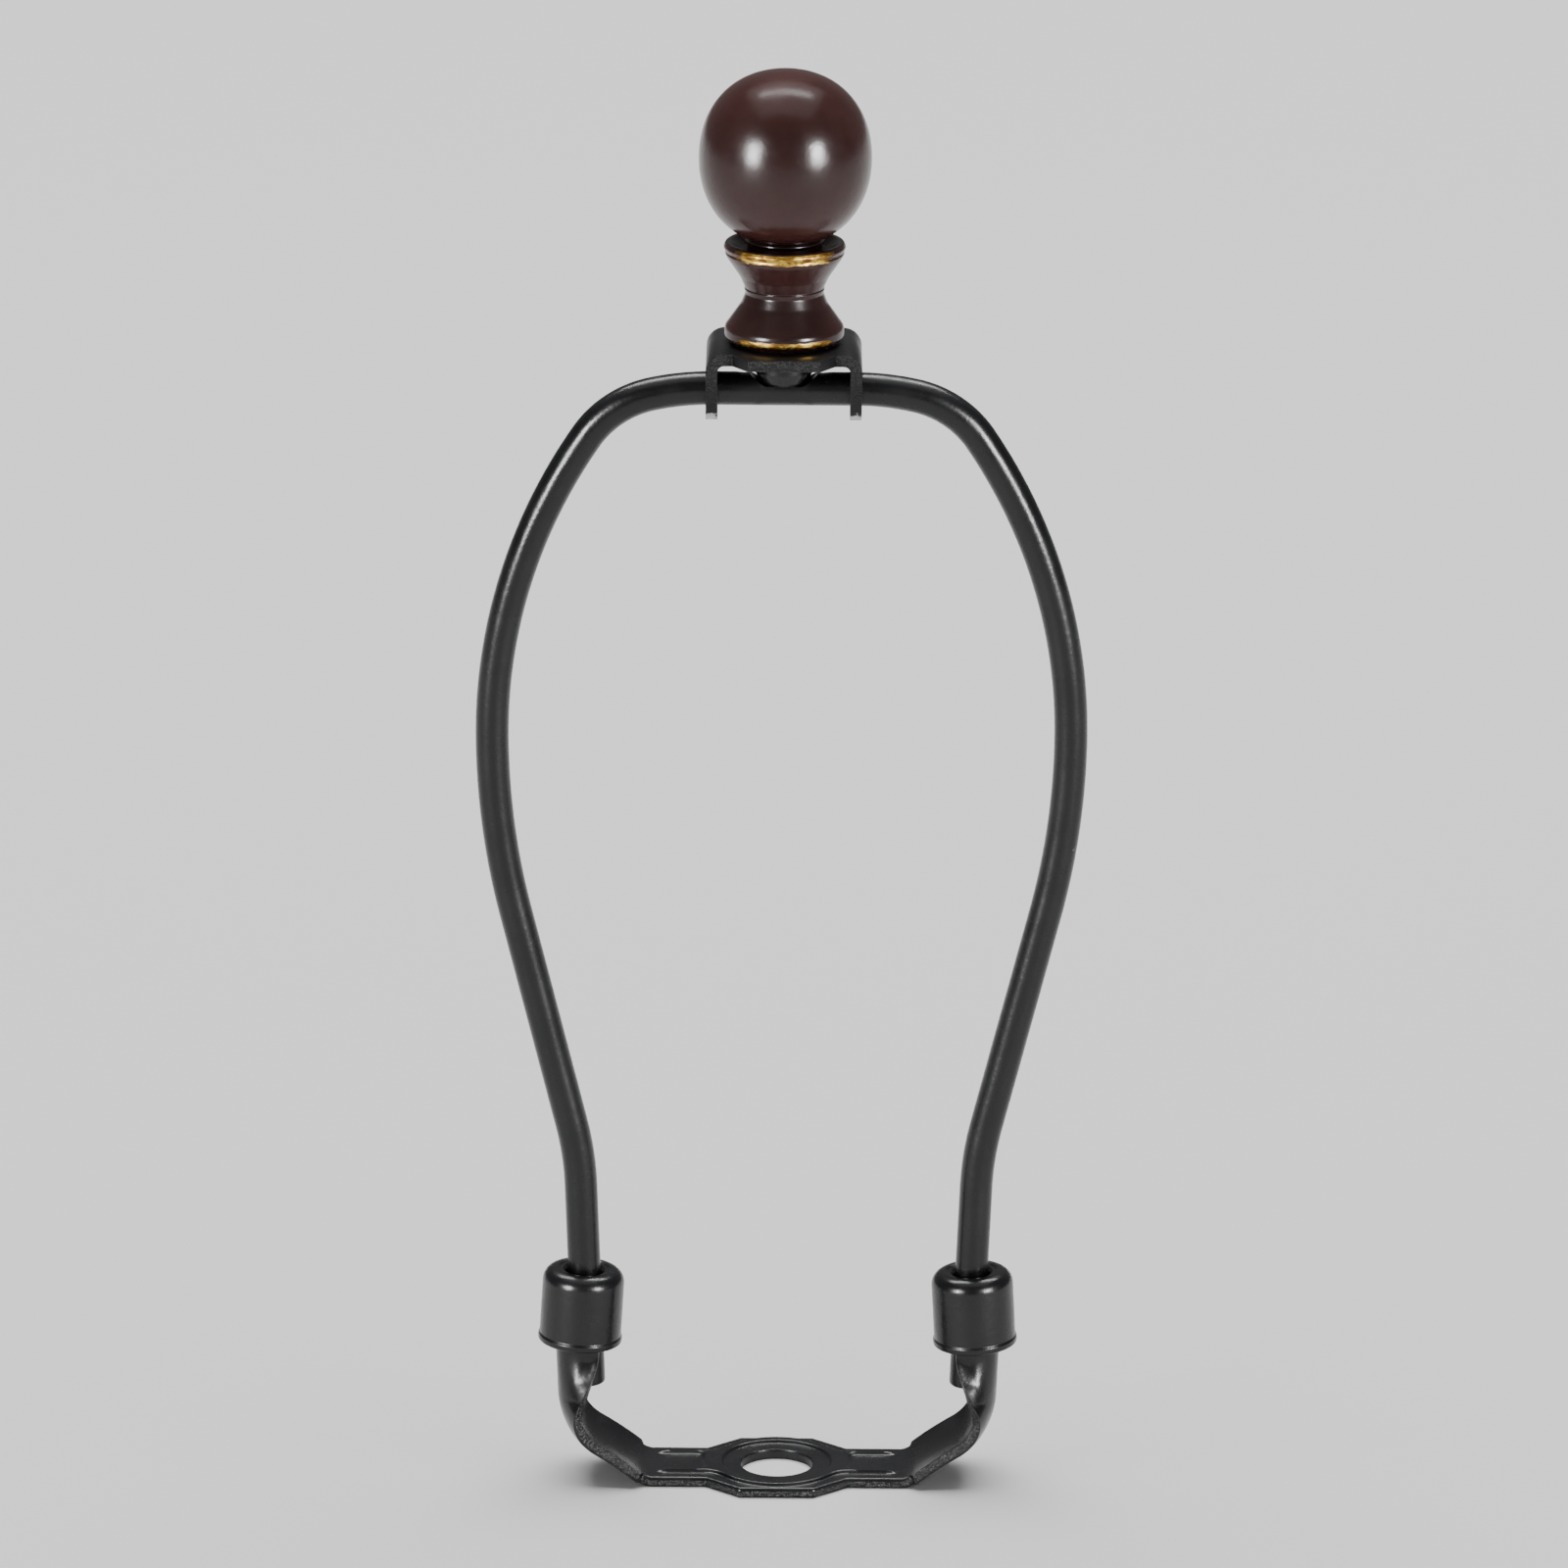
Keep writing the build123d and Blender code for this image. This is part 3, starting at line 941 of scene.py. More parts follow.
@dataclass
class ArmLine:
    """Centre line of the right arm's outer face: fold, slant, bend and upright prong.

    Attributes:
        wire: the wire whose leg the prong runs beside.
        sheet: the thickness of the sheet.
        fold_radius: the radius of the fold where the arm starts to rise.
        slope: how steeply the slanted stretch rises, in radians.
        bend_radius: the radius of the bend into the prong.
        bend_end_height: the height where that bend ends.
        top_height: the height of the prong's end.
        channel_offset: how far the channel's axis lies outside the leg's.
        channel_gap: the gap between the wire and the channel.
    """

    wire: HarpWire = field(default_factory=HarpWire)
    sheet: float = 1.5
    fold_radius: float = 5.4
    slope: float = math.radians(31.0)
    bend_radius: float = 10.4
    bend_end_height: float = 12.8
    top_height: float = 28.2
    channel_offset: float = 0.6
    channel_gap: float = 0.12

    def __post_init__(self) -> None:
        """Works out the length of each stretch and where the fold starts."""
        self.upright = math.radians(90.0 - self.wire.leg_lean)
        self.channel_radius = self.wire.diameter / 2 + self.channel_gap
        bend_run = self.bend_radius * (math.sin(self.upright) - math.sin(self.slope))
        bend_rise = self.bend_radius * (math.cos(self.slope) - math.cos(self.upright))
        fold_rise = self.fold_radius * (1 - math.cos(self.slope))
        slant_rise = self.bend_end_height - bend_rise - fold_rise
        outer_offset = self.channel_offset + self.channel_radius + self.sheet
        end_x = self.wire.leg_x(self.bend_end_height) + outer_offset
        self.fold_length = self.fold_radius * self.slope
        self.slant_length = slant_rise / math.sin(self.slope)
        self.bend_length = self.bend_radius * (self.upright - self.slope)
        self.prong_length = (self.top_height - self.bend_end_height) / math.sin(self.upright)
        fold_run = self.fold_radius * math.sin(self.slope)
        self.fold_start = end_x - bend_run - slant_rise / math.tan(self.slope) - fold_run
        self.flare_length = self.fold_length + self.slant_length
        self.bend_end = self.flare_length + self.bend_length
        self.total = self.bend_end + self.prong_length

    def at(self, way: float) -> tuple[Vector, float]:
        """Finds a point of the line.

        Args:
            way: the distance along it from the start of the fold.

        Returns:
            The point in X and Z, and the heading there in radians above level.
        """
        turned_fold = min(way, self.fold_length) / self.fold_radius
        point = Vector((self.fold_start, 0.0))
        point += Vector((math.sin(turned_fold), 1 - math.cos(turned_fold))) * self.fold_radius
        if way <= self.fold_length:
            return point, turned_fold
        along = min(way, self.flare_length) - self.fold_length
        point += Vector((math.cos(self.slope), math.sin(self.slope))) * along
        if way <= self.flare_length:
            return point, self.slope
        heading = self.slope + min(way - self.flare_length, self.bend_length) / self.bend_radius
        point += self.bend_radius * Vector(
            (math.sin(heading) - math.sin(self.slope), math.cos(self.slope) - math.cos(heading))
        )
        if way <= self.bend_end:
            return point, heading
        point += Vector((math.cos(heading), math.sin(heading))) * (way - self.bend_end)
        return point, heading


@dataclass
class Saddle:
    """The stamped saddle: a blank that is pressed, folded up and curled around the wire's ends.

    Attributes:
        sheet: the thickness of the sheet.
        hole_radius: the radius of the nipple hole.
        hole_rounding: how far its upper edge is rounded.
        edge: how far the blank's top edge is rolled over at the middle.
        burr: the small rounding under the outline.
        sharp_edge: how far the top edge is rolled over on the prongs.
        half_depth: half the depth of the middle.
        front_half: half the length of its straight front.
        meeting_x: how far out its slanted corner meets the arm.
        arm_half: half the arm's width.
        notch_start: where along the blank the arm steps out.
        notch_length: the length of that step.
        trough_half: half the width past it.
        flat_curl: how far the sheet is curled at the fold, in degrees on each side.
        trough_curl: the same at the end of the slanted trough.
        bend_curl: the same at the end of the bend.
        bend_curl_lag: how late the curl grows in the bend; 1 is evenly.
        curl_lag: the same in the prong.
        edge_flank: the straight strip beside the curl, on the arm.
        channel_flank: the same on the channel's sides.
        channel_start_height: the height where the channel is closed.
        press_height: how far the ring and the ribs are pressed up.
        press_wall: the width of a pressed wall.
        wall_shift: the share of a groove's wall that lies inside its outline.
        seat_radius: the radius of the flat seat around the hole.
        boss_radius: the outer radius of the raised ring around that.
        boss_fillet: how softly ring and ribs flow together.
        rib_half: half the width of a rib.
        rib_end: where the rib ends.
        rib_tail: how far past that it has faded out.
        rib_fade: the length over which it fades out.
        groove: start, end, half the width and corner radius of the groove in a rib.
        hollow: inner and outer radius of the hollow on the underside, under the ring.
        hollow_wall: the width of its wall.
        dent_heights: lowest and highest height of the pressed hollow on a prong.
        dent_across: the same across the blank.
        dent_depth: how deep it is.
        dent_wall: the width of its wall.
        arm_columns: the mesh columns in half an arm's width.
        flank_columns: those in a slanted corner.
        front_columns: those in half the straight front.
        line: the line that the arms follow.
    """

    sheet: float = 1.5
    hole_radius: float = 5.3
    hole_rounding: float = 0.15
    edge: float = 0.55
    burr: float = 0.28
    sharp_edge: float = 0.1
    half_depth: float = 10.3
    front_half: float = 5.4
    meeting_x: float = 10.3
    arm_half: float = 6.25
    notch_start: float = 20.0
    notch_length: float = 0.9
    trough_half: float = 7.05
    flat_curl: float = 0.5
    trough_curl: float = 17.5
    bend_curl: float = 55.5
    bend_curl_lag: float = 3.0
    curl_lag: float = 0.7
    edge_flank: float = 0.3
    channel_flank: float = 2.35
    channel_start_height: float = 19.6
    press_height: float = 0.45
    press_wall: float = 0.5
    wall_shift: float = 0.3
    seat_radius: float = 7.7
    boss_radius: float = 9.7
    boss_fillet: float = 2.0
    rib_half: float = 4.2
    rib_end: float = 17.9
    rib_tail: float = 0.3
    rib_fade: float = 2.2
    groove: tuple[float, float, float, float] = (10.7, 18.8, 3.3, 1.3)
    hollow: Point = (8.0, 8.95)
    hollow_wall: float = 0.3
    dent_heights: Point = (14.9, 19.0)
    dent_across: Point = (-7.3, -4.7)
    dent_depth: float = 0.08
    dent_wall: float = 0.9
    arm_columns: int = 30
    flank_columns: int = 36
    front_columns: int = 26
    line: ArmLine = field(default_factory=ArmLine)

    @property
    def quarter(self) -> int:
        """Columns in a quarter of the ring around the hole."""
        return self.arm_columns + self.flank_columns + self.front_columns

    @property
    def channel_half(self) -> float:
        """Half the width of the blank that closes into the channel."""
        middle_radius = self.line.channel_radius + self.sheet / 2
        return middle_radius * math.pi / 2 + self.channel_flank

    def rim(self, column: int) -> tuple[Vector, Vector]:
        """Finds where a column of the ring meets the outline, set in by the rolled edge.

        Args:
            column: the column, counted once around from +X.

        Returns:
            The point, and the step in X and Y for one millimetre outwards across the edge.
        """
        part, rest = divmod(column, self.quarter)
        index = rest if part % 2 == 0 else self.quarter - rest
        signs = Vector(((1, 1), (-1, 1), (-1, -1), (1, -1))[part % 4])
        side, front = Vector((0.0, 1.0)), Vector((0.0, 1.0))
        inner = Vector((self.meeting_x, self.arm_half))
        outer = Vector((self.front_half, self.half_depth))
        along = outer - inner
        slant = Vector((along.y, -along.x)).normalized()
        inner_mitre = (side + slant) / (1 + side.dot(slant))
        outer_mitre = (front + slant) / (1 + front.dot(slant))
        inner, outer = inner - inner_mitre * self.edge, outer - outer_mitre * self.edge
        if index < self.arm_columns:
            point = Vector((inner.x, inner.y * index / self.arm_columns))
            step = Vector((0.0, 0.0))
        elif index == self.arm_columns:
            point, step = inner, inner_mitre
        elif index <= self.arm_columns + self.flank_columns:
            share = (index - self.arm_columns) / self.flank_columns
            point, step = inner.lerp(outer, share), outer_mitre if share == 1.0 else slant
        else:
            share = (index - self.arm_columns - self.flank_columns) / self.front_columns
            point, step = Vector((outer.x * (1 - share), outer.y)), front
        return point * signs, step * signs

    def section(self) -> list[Point]:
        """Lists the ring's cross-section as a reach outwards and a height.

        Returns:
            Points whose reach is under 0 at the hole's wall, 0 to 1 across the sheet and over 1
            at the outer edge.
        """
        top_steps, side_steps, under_steps, hole_steps = 40, 4, 24, 3
        edge, burr, rounding = self.edge, self.burr, self.hole_rounding
        bends = [math.radians(angle) for angle in (20, 40, 60, 75, 90)]
        rolls = [math.radians(angle) for angle in (30, 60, 90)]
        side_top, side_drop = self.sheet - edge, self.sheet - edge - burr
        across = [(step / top_steps, self.sheet) for step in range(1, top_steps + 1)]
        across += [(1 + edge * math.sin(bend), side_top + edge * math.cos(bend)) for bend in bends]
        for step in range(1, side_steps + 1):
            across.append((1 + edge, side_top - side_drop * step / side_steps))
        for roll in rolls:
            across.append((1 + edge - burr * (1 - math.cos(roll)), burr * (1 - math.sin(roll))))
        across += [(1 - step / under_steps, 0.0) for step in range(under_steps + 1)]
        for step in range(hole_steps + 1):
            across.append((-rounding, step * (self.sheet - rounding) / hole_steps))
        for bend in bends[1:-1]:
            height = self.sheet - rounding * (1 - math.sin(bend))
            across.append((-rounding * math.cos(bend), height))
        return across + [(0.0, self.sheet)]

    def ring(self) -> bmesh.types.BMesh:
        """Spins the section about the hole and stretches it out to the outline.

        Returns:
            The flat middle of the blank, open where the arms go on.
        """
        hub = 10.0
        columns = 4 * self.quarter
        section = [(hub + reach, height) for reach, height in self.section()]
        bm = turned(section, closed=True, steps=columns)
        sheared = bm.verts.layers.float.new(SHEARED)
        places: dict[bmesh.types.BMVert, tuple[float, int]] = {}
        for vert in bm.verts:
            turn = math.atan2(vert.co.y, vert.co.x) % (2 * math.pi)
            column = round(turn / (2 * math.pi) * columns) % columns
            places[vert] = (math.hypot(vert.co.x, vert.co.y) - hub, column)
        outer = {vert for vert in bm.verts if places[vert][0] > 1 - WELD}
        open_rim = {vert for vert in outer if self.is_arm(places[vert][1])}
        opened = [face for face in bm.faces if open_rim.issuperset(face.verts)]
        bmesh.ops.delete(bm, geom=opened, context="FACES")
        for vert in bm.verts:
            reach, column = places[vert]
            rim, step = self.rim(column)
            hole = rim.normalized() * (self.hole_radius + self.hole_rounding + min(reach, 0.0))
            spot = hole.lerp(rim, clamp(reach)) + step * max(reach - 1, 0.0)
            vert.co.x, vert.co.y = spot.x, spot.y
            on_side = reach > 1 + self.edge - WELD and vert.co.z < self.sheet - self.edge
            vert[sheared] = 1.0 if on_side else 0.0
        return bm

    def is_arm(self, column: int) -> bool:
        """Tells whether a column of the ring runs into an arm, or along its corner.

        Args:
            column: the column, counted once around from +X.

        Returns:
            Whether it does.
        """
        part, rest = divmod(column, self.quarter)
        index = rest if part % 2 == 0 else self.quarter - rest
        return index <= self.arm_columns

    def half_width(self, x: float) -> float:
        """Works out half the width of the blank's arm.

        Args:
            x: the distance from the middle along the blank.

        Returns:
            Half the width.
        """
        width = ease((x - self.notch_start) / self.notch_length, self.arm_half, self.trough_half)
        share = (x - self.line.fold_start - self.line.bend_end) / self.curl_length
        return width + ease(share, 0.0, self.channel_half - self.trough_half)

    def edge_at(self, x: float) -> float:
        """Works out how far the blank's top edge is rolled over.

        Args:
            x: the distance from the middle along the blank.

        Returns:
            The radius of the rolled edge.
        """
        return ease((x - self.notch_start) / self.notch_length, self.edge, self.sharp_edge)

    @property
    def curl_length(self) -> float:
        """Length of the stretch of the prong over which the trough closes into the channel."""
        rise = self.channel_start_height - self.line.bend_end_height
        return rise / math.sin(self.line.upright)

    def stations(self) -> list[float]:
        """Lists the places along the blank's arm where the mesh has a row.

        Returns:
            Distances from the middle.
        """
        first_step, margin = 0.15, 0.1
        before, after = self.notch_start - margin, self.notch_start + self.notch_length + margin
        upright = self.line.fold_start + self.line.bend_end
        closed = upright + self.curl_length
        stops = (
            (self.meeting_x + first_step, before, 0.27),
            (before, after, 0.11),
            (after, upright, 0.35),
            (upright, closed, 0.22),
            (closed, self.line.fold_start + self.line.total, 0.9),
        )
        rows = [stops[0][0]]
        for low, high, step in stops:
            count = math.ceil((high - low) / step)
            rows += [low + (high - low) * index / count for index in range(1, count + 1)]
        return rows

    def draw_arm(self, bm: bmesh.types.BMesh, side: Side) -> None:
        """Draws one arm of the blank out of the open side of the ring.

        Args:
            bm: the blank.
            side: which arm.
        """
        rims = [edge for edge in bm.edges if edge.is_boundary]
        front = [edge for edge in rims if edge.verts[0].co.x * side.value > 0]
        width, edge = self.arm_half, self.edge
        for x in self.stations():
            front, moved = grow(bm, front)
            new_width, new_edge = self.half_width(x), self.edge_at(x)
            for vert in moved:
                flat, sign = width - edge, math.copysign(1.0, vert.co.y)
                over = (abs(vert.co.y) - flat) / edge
                core = abs(vert.co.y) / flat * (new_width - new_edge)
                vert.co.x = x * side.value
                vert.co.y = sign * (core if over <= 0 else new_width - new_edge + over * new_edge)
                if self.sheet - edge < vert.co.z < self.sheet:
                    vert.co.z = self.sheet - (self.sheet - vert.co.z) / edge * new_edge
                elif 0.0 < vert.co.z <= self.sheet - edge:
                    vert.co.z *= (self.sheet - new_edge) / (self.sheet - edge)
            width, edge = new_width, new_edge
        bmesh.ops.holes_fill(bm, edges=front)

    def relief(self, x: float, y: float) -> float:
        """Works out how far the top is pressed up.

        Args:
            x: the place across the harp.
            y: the place from front to back.

        Returns:
            The height above the sheet's own top.
        """
        across, deep = abs(x), abs(y)
        disc = math.hypot(x, y) - self.boss_radius
        rib = max(across - self.rib_end, deep - self.rib_half)
        blend = clamp(0.5 + 0.5 * (rib - disc) / self.boss_fillet)
        outer = rib + (disc - rib) * blend - self.boss_fillet * blend * (1 - blend)
        seat = math.hypot(x, y) - self.seat_radius
        low, high, half, corner = self.groove
        gap_x = abs(across - (low + high) / 2) - (high - low) / 2 + corner
        gap_y = deep - half + corner
        groove = math.hypot(max(gap_x, 0.0), max(gap_y, 0.0)) + min(max(gap_x, gap_y), 0.0) - corner
        groove_wall = (1 + self.wall_shift) * self.press_wall
        raised = ease(-outer / self.press_wall)
        raised *= ease(seat / self.press_wall)
        raised *= ease(groove / groove_wall + self.wall_shift)
        raised *= ease((self.rib_end + self.rib_tail - across) / self.rib_fade)
        return self.press_height * raised

    def dent(self, vert: Vector) -> float:
        """Works out how deep the pressed hollow on the prong's front is.

        Args:
            vert: a point of the blank.

        Returns:
            The depth there.
        """
        way = abs(vert.x) - self.line.fold_start - self.line.bend_end
        height = self.line.bend_end_height + way * math.sin(self.line.upright)
        soft = self.dent_wall
        low, high = self.dent_heights
        near, far = self.dent_across
        mask = ease((height - low) / soft) * ease((high - height) / soft)
        mask *= ease((vert.y - near) / soft) * ease((far - vert.y) / soft)
        return self.dent_depth * mask

    def press(self, bm: bmesh.types.BMesh) -> None:
        """Presses the boss, ribs, grooves and hollows into the flat blank.

        Args:
            bm: the blank.
        """
        near, far = self.hollow
        for vert in bm.verts:
            if vert.co.z > self.sheet - LOOSE_WELD:
                vert.co.z += self.relief(vert.co.x, vert.co.y)
            elif vert.co.z < LOOSE_WELD:
                ring = math.hypot(vert.co.x, vert.co.y)
                hollow = ease((ring - near) / self.hollow_wall)
                hollow *= ease((far - ring) / self.hollow_wall)
                vert.co.z += self.press_height * hollow + self.dent(vert.co)

    def fold(self, bm: bmesh.types.BMesh) -> None:
        """Folds both arms up and curls them, which moves each point of the blank to its place.

        Args:
            bm: the pressed blank.
        """
        for vert in bm.verts:
            side = math.copysign(1.0, vert.co.x)
            way = abs(vert.co.x) - self.line.fold_start
            if way <= 0:
                continue
            share = clamp((way - self.line.bend_end) / self.curl_length)
            curl = settle(self.flat_curl, self.trough_curl, way / self.line.flare_length)
            in_bend = clamp((way - self.line.flare_length) / self.line.bend_length)
            curl += (self.bend_curl - self.trough_curl) * in_bend**self.bend_curl_lag
            curl += ease(share**self.curl_lag, 0.0, 90.0 - self.bend_curl)
            curl = math.radians(curl)
            flank = ease(share, self.edge_flank, self.channel_flank)
            arc = self.half_width(abs(vert.co.x)) - flank
            middle = arc / curl
            straight = max(abs(vert.co.y) - arc, 0.0)
            angle = min(abs(vert.co.y), arc) / middle
            radius = middle + self.sheet / 2 - vert.co.z
            across = radius * math.sin(angle) + straight * math.cos(curl)
            depth = middle + self.sheet / 2 - radius * math.cos(angle) + straight * math.sin(curl)
            point, heading = self.line.at(way)
            point += Vector((-math.sin(heading), math.cos(heading))) * depth
            vert.co = Vector((side * point.x, math.copysign(across, vert.co.y), point.y))

    def build(self, finish: bpy.types.Material) -> bpy.types.Object:
        """Builds and dresses the saddle.

        Args:
            finish: its material.

        Returns:
            The saddle.
        """
        bm = self.ring()
        for side in Side:
            self.draw_arm(bm, side)
        self.press(bm)
        self.fold(bm)
        bmesh.ops.remove_doubles(bm, verts=bm.verts, dist=WELD)
        bmesh.ops.recalc_face_normals(bm, faces=bm.faces)
        return dress(bm, "stamped_saddle", finish, "base", "saddle")


# Sleeves


@dataclass
class Sleeve:
    """A drawn sleeve over one prong: round shoulder, turned-in hole and beaded rim.

    Attributes:
        side: the leg that it hangs on.
        lean: how far it leans inwards at the top, in degrees.
        radius: its outer radius.
        wall: the thickness of its wall.
        bottom_height: the height of its rim.
        top_height: the height of its top.
        shoulder: the radius of its round shoulder.
        hole_radius: the radius of the hole for the wire.
        hole_depth: how far the hole's edge is turned in.
        dish: how deep the dish around the hole is.
        bead: how far the bead on the rim stands out.
        bead_height: the bead's height.
    """

    side: Side
    lean: float
    radius: float = 5.95
    wall: float = 0.65
    bottom_height: float = 20.6
    top_height: float = 31.8
    shoulder: float = 2.0
    hole_radius: float = 2.64
    hole_depth: float = 1.45
    dish: float = 0.22
    bead: float = 0.18
    bead_height: float = 0.9

    def corners(self) -> list[Corner]:
        """Lists the corners of its section.

        Returns:
            The corners, once around the wall.
        """
        height = self.top_height - self.bottom_height
        inner = self.radius - self.wall
        bead = self.radius + self.bead
        hole, hole_end = self.hole_radius, height - self.hole_depth
        return [
            Corner(inner, 0.12),
            Corner(inner + 0.1, 0.0),
            Corner(bead, 0.0, 0.4),
            Corner(bead, self.bead_height, 0.35),
            Corner(self.radius, self.bead_height + 0.3, 0.3),
            Corner(self.radius, height, self.shoulder),
            Corner(hole + 1.1, height, 0.5),
            Corner(hole + 0.9, height - self.dish, 0.12),
            Corner(hole + 0.45, height - self.dish, 0.12),
            Corner(hole, height - 0.75, 0.3),
            Corner(hole, hole_end, 0.1),
            Corner(hole + self.wall, hole_end, 0.1),
            Corner(hole + self.wall, height - self.wall - 0.2, 0.2),
            Corner(inner, height - self.wall, self.shoulder - self.wall),
        ]

    def build(self, wire: HarpWire, finish: bpy.types.Material) -> bpy.types.Object:
        """Builds and dresses the sleeve.

        Args:
            wire: the wire whose leg it hangs on.
            finish: its material.

        Returns:
            The sleeve.
        """
        bm = turned(rounded_profile(self.corners()), closed=True)
        height = self.top_height - self.bottom_height
        top = Vector((self.side.value * wire.leg_x(self.top_height), 0.0, self.top_height))
        tilt = Matrix.Rotation(-math.radians(self.side.value * self.lean), 4, "Y")
        stand = Matrix.Translation(top) @ tilt @ Matrix.Translation((0.0, 0.0, -height))
        bmesh.ops.transform(bm, matrix=stand, verts=bm.verts)
        side = self.side.name.lower()
        node = f"sleeve_{side}"
        return dress(bm, f"locking_sleeve_{side}", finish, node, node)


# Clip and stud


@dataclass
class SwivelClip:
    """The folded clip on top of the wire, whose sheared edges are rolled over.

    Attributes:
        node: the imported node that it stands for.
        rolled: how far its edges are rolled over.
        crease: the angle in degrees past which an edge is rolled over.
        flat: the angle in degrees under which faces are one.
        cut_facing: how straight a face looks to the front or back where the sheet was sheared.
    """

    node: str = "swivel_clip"
    rolled: float = 0.28
    crease: float = 38.0
    flat: float = 0.5
    cut_facing: float = 0.95

    def build(self, frame: dict, finish: bpy.types.Material) -> bpy.types.Object:
        """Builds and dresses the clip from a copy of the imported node.

        Args:
            frame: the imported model.
            finish: its material.

        Returns:
            The clip.
        """
        bm = bmesh.new()
        bm.from_mesh(frame["nodes"][self.node].data)
        bmesh.ops.scale(bm, vec=(1 / MM, 1 / MM, 1 / MM), verts=bm.verts)
        bmesh.ops.remove_doubles(bm, verts=bm.verts, dist=LOOSE_WELD)
        flat, crease = math.radians(self.flat), math.radians(self.crease)
        bmesh.ops.dissolve_limit(bm, angle_limit=flat, verts=bm.verts, edges=bm.edges)
        joined = [edge for edge in bm.edges if edge.is_manifold]
        sharp = [edge for edge in joined if edge.calc_face_angle() > crease]
        round_edges(bm, sharp, self.rolled, segments=3, clamped=True)
        bmesh.ops.recalc_face_normals(bm, faces=bm.faces)
        sheared = bm.verts.layers.float.new(SHEARED)
        for face in bm.faces:
            if abs(face.normal.y) > self.cut_facing:
                for vert in face.verts:
                    vert[sheared] = 1.0
        return dress(bm, "folded_clip", finish, "clip", self.node, sharp=30.0)


@dataclass
class Stud:
    """The riveted stud: stepped head under the plate, shank and tip.

    Attributes:
        plate_top: the height of the clip's plate.
        plate: the thickness of that plate.
        pocket_floor: the height of the floor of the wire's pocket.
        tip_gap: the gap between that floor and the head's tip.
        shank: the shank's radius.
        length: how far it stands above the plate.
        end_chamfer: the chamfer of its end.
        head: the head's radius.
        head_height: its height.
        cone_top: the radius where the tip's cone meets the head's slanted underside.
        cone_height: how far that lies below the head's edge.
        tip: the radius of the tip.
    """

    plate_top: float = 170.75
    plate: float = 1.65
    pocket_floor: float = 163.5
    tip_gap: float = 0.85
    shank: float = 3.175
    length: float = 9.5
    end_chamfer: float = 0.6
    head: float = 4.2
    head_height: float = 2.5
    cone_top: float = 3.3
    cone_height: float = 1.4
    tip: float = 2.3

    def build(self, finish: bpy.types.Material) -> bpy.types.Object:
        """Builds and dresses the stud.

        Args:
            finish: its material.

        Returns:
            The stud.
        """
        low = self.plate_top - self.plate
        end = self.plate_top + self.length
        head_low = low - self.head_height
        tip_low = self.pocket_floor + self.tip_gap
        profile = rounded_profile(
            [
                Corner(0.0, tip_low),
                Corner(self.tip, tip_low, 0.3),
                Corner(self.cone_top, head_low - self.cone_height, 0.25),
                Corner(self.head, head_low, 0.35),
                Corner(self.head, low, 0.1),
                Corner(self.shank, low),
                Corner(self.shank, end - self.end_chamfer),
                Corner(self.shank - self.end_chamfer, end),
                Corner(0.0, end),
            ]
        )
        bm = turned(profile, closed=False, steps=96)
        return dress(bm, "riveted_stud", finish, "clip", "finial_stud")


# Finial


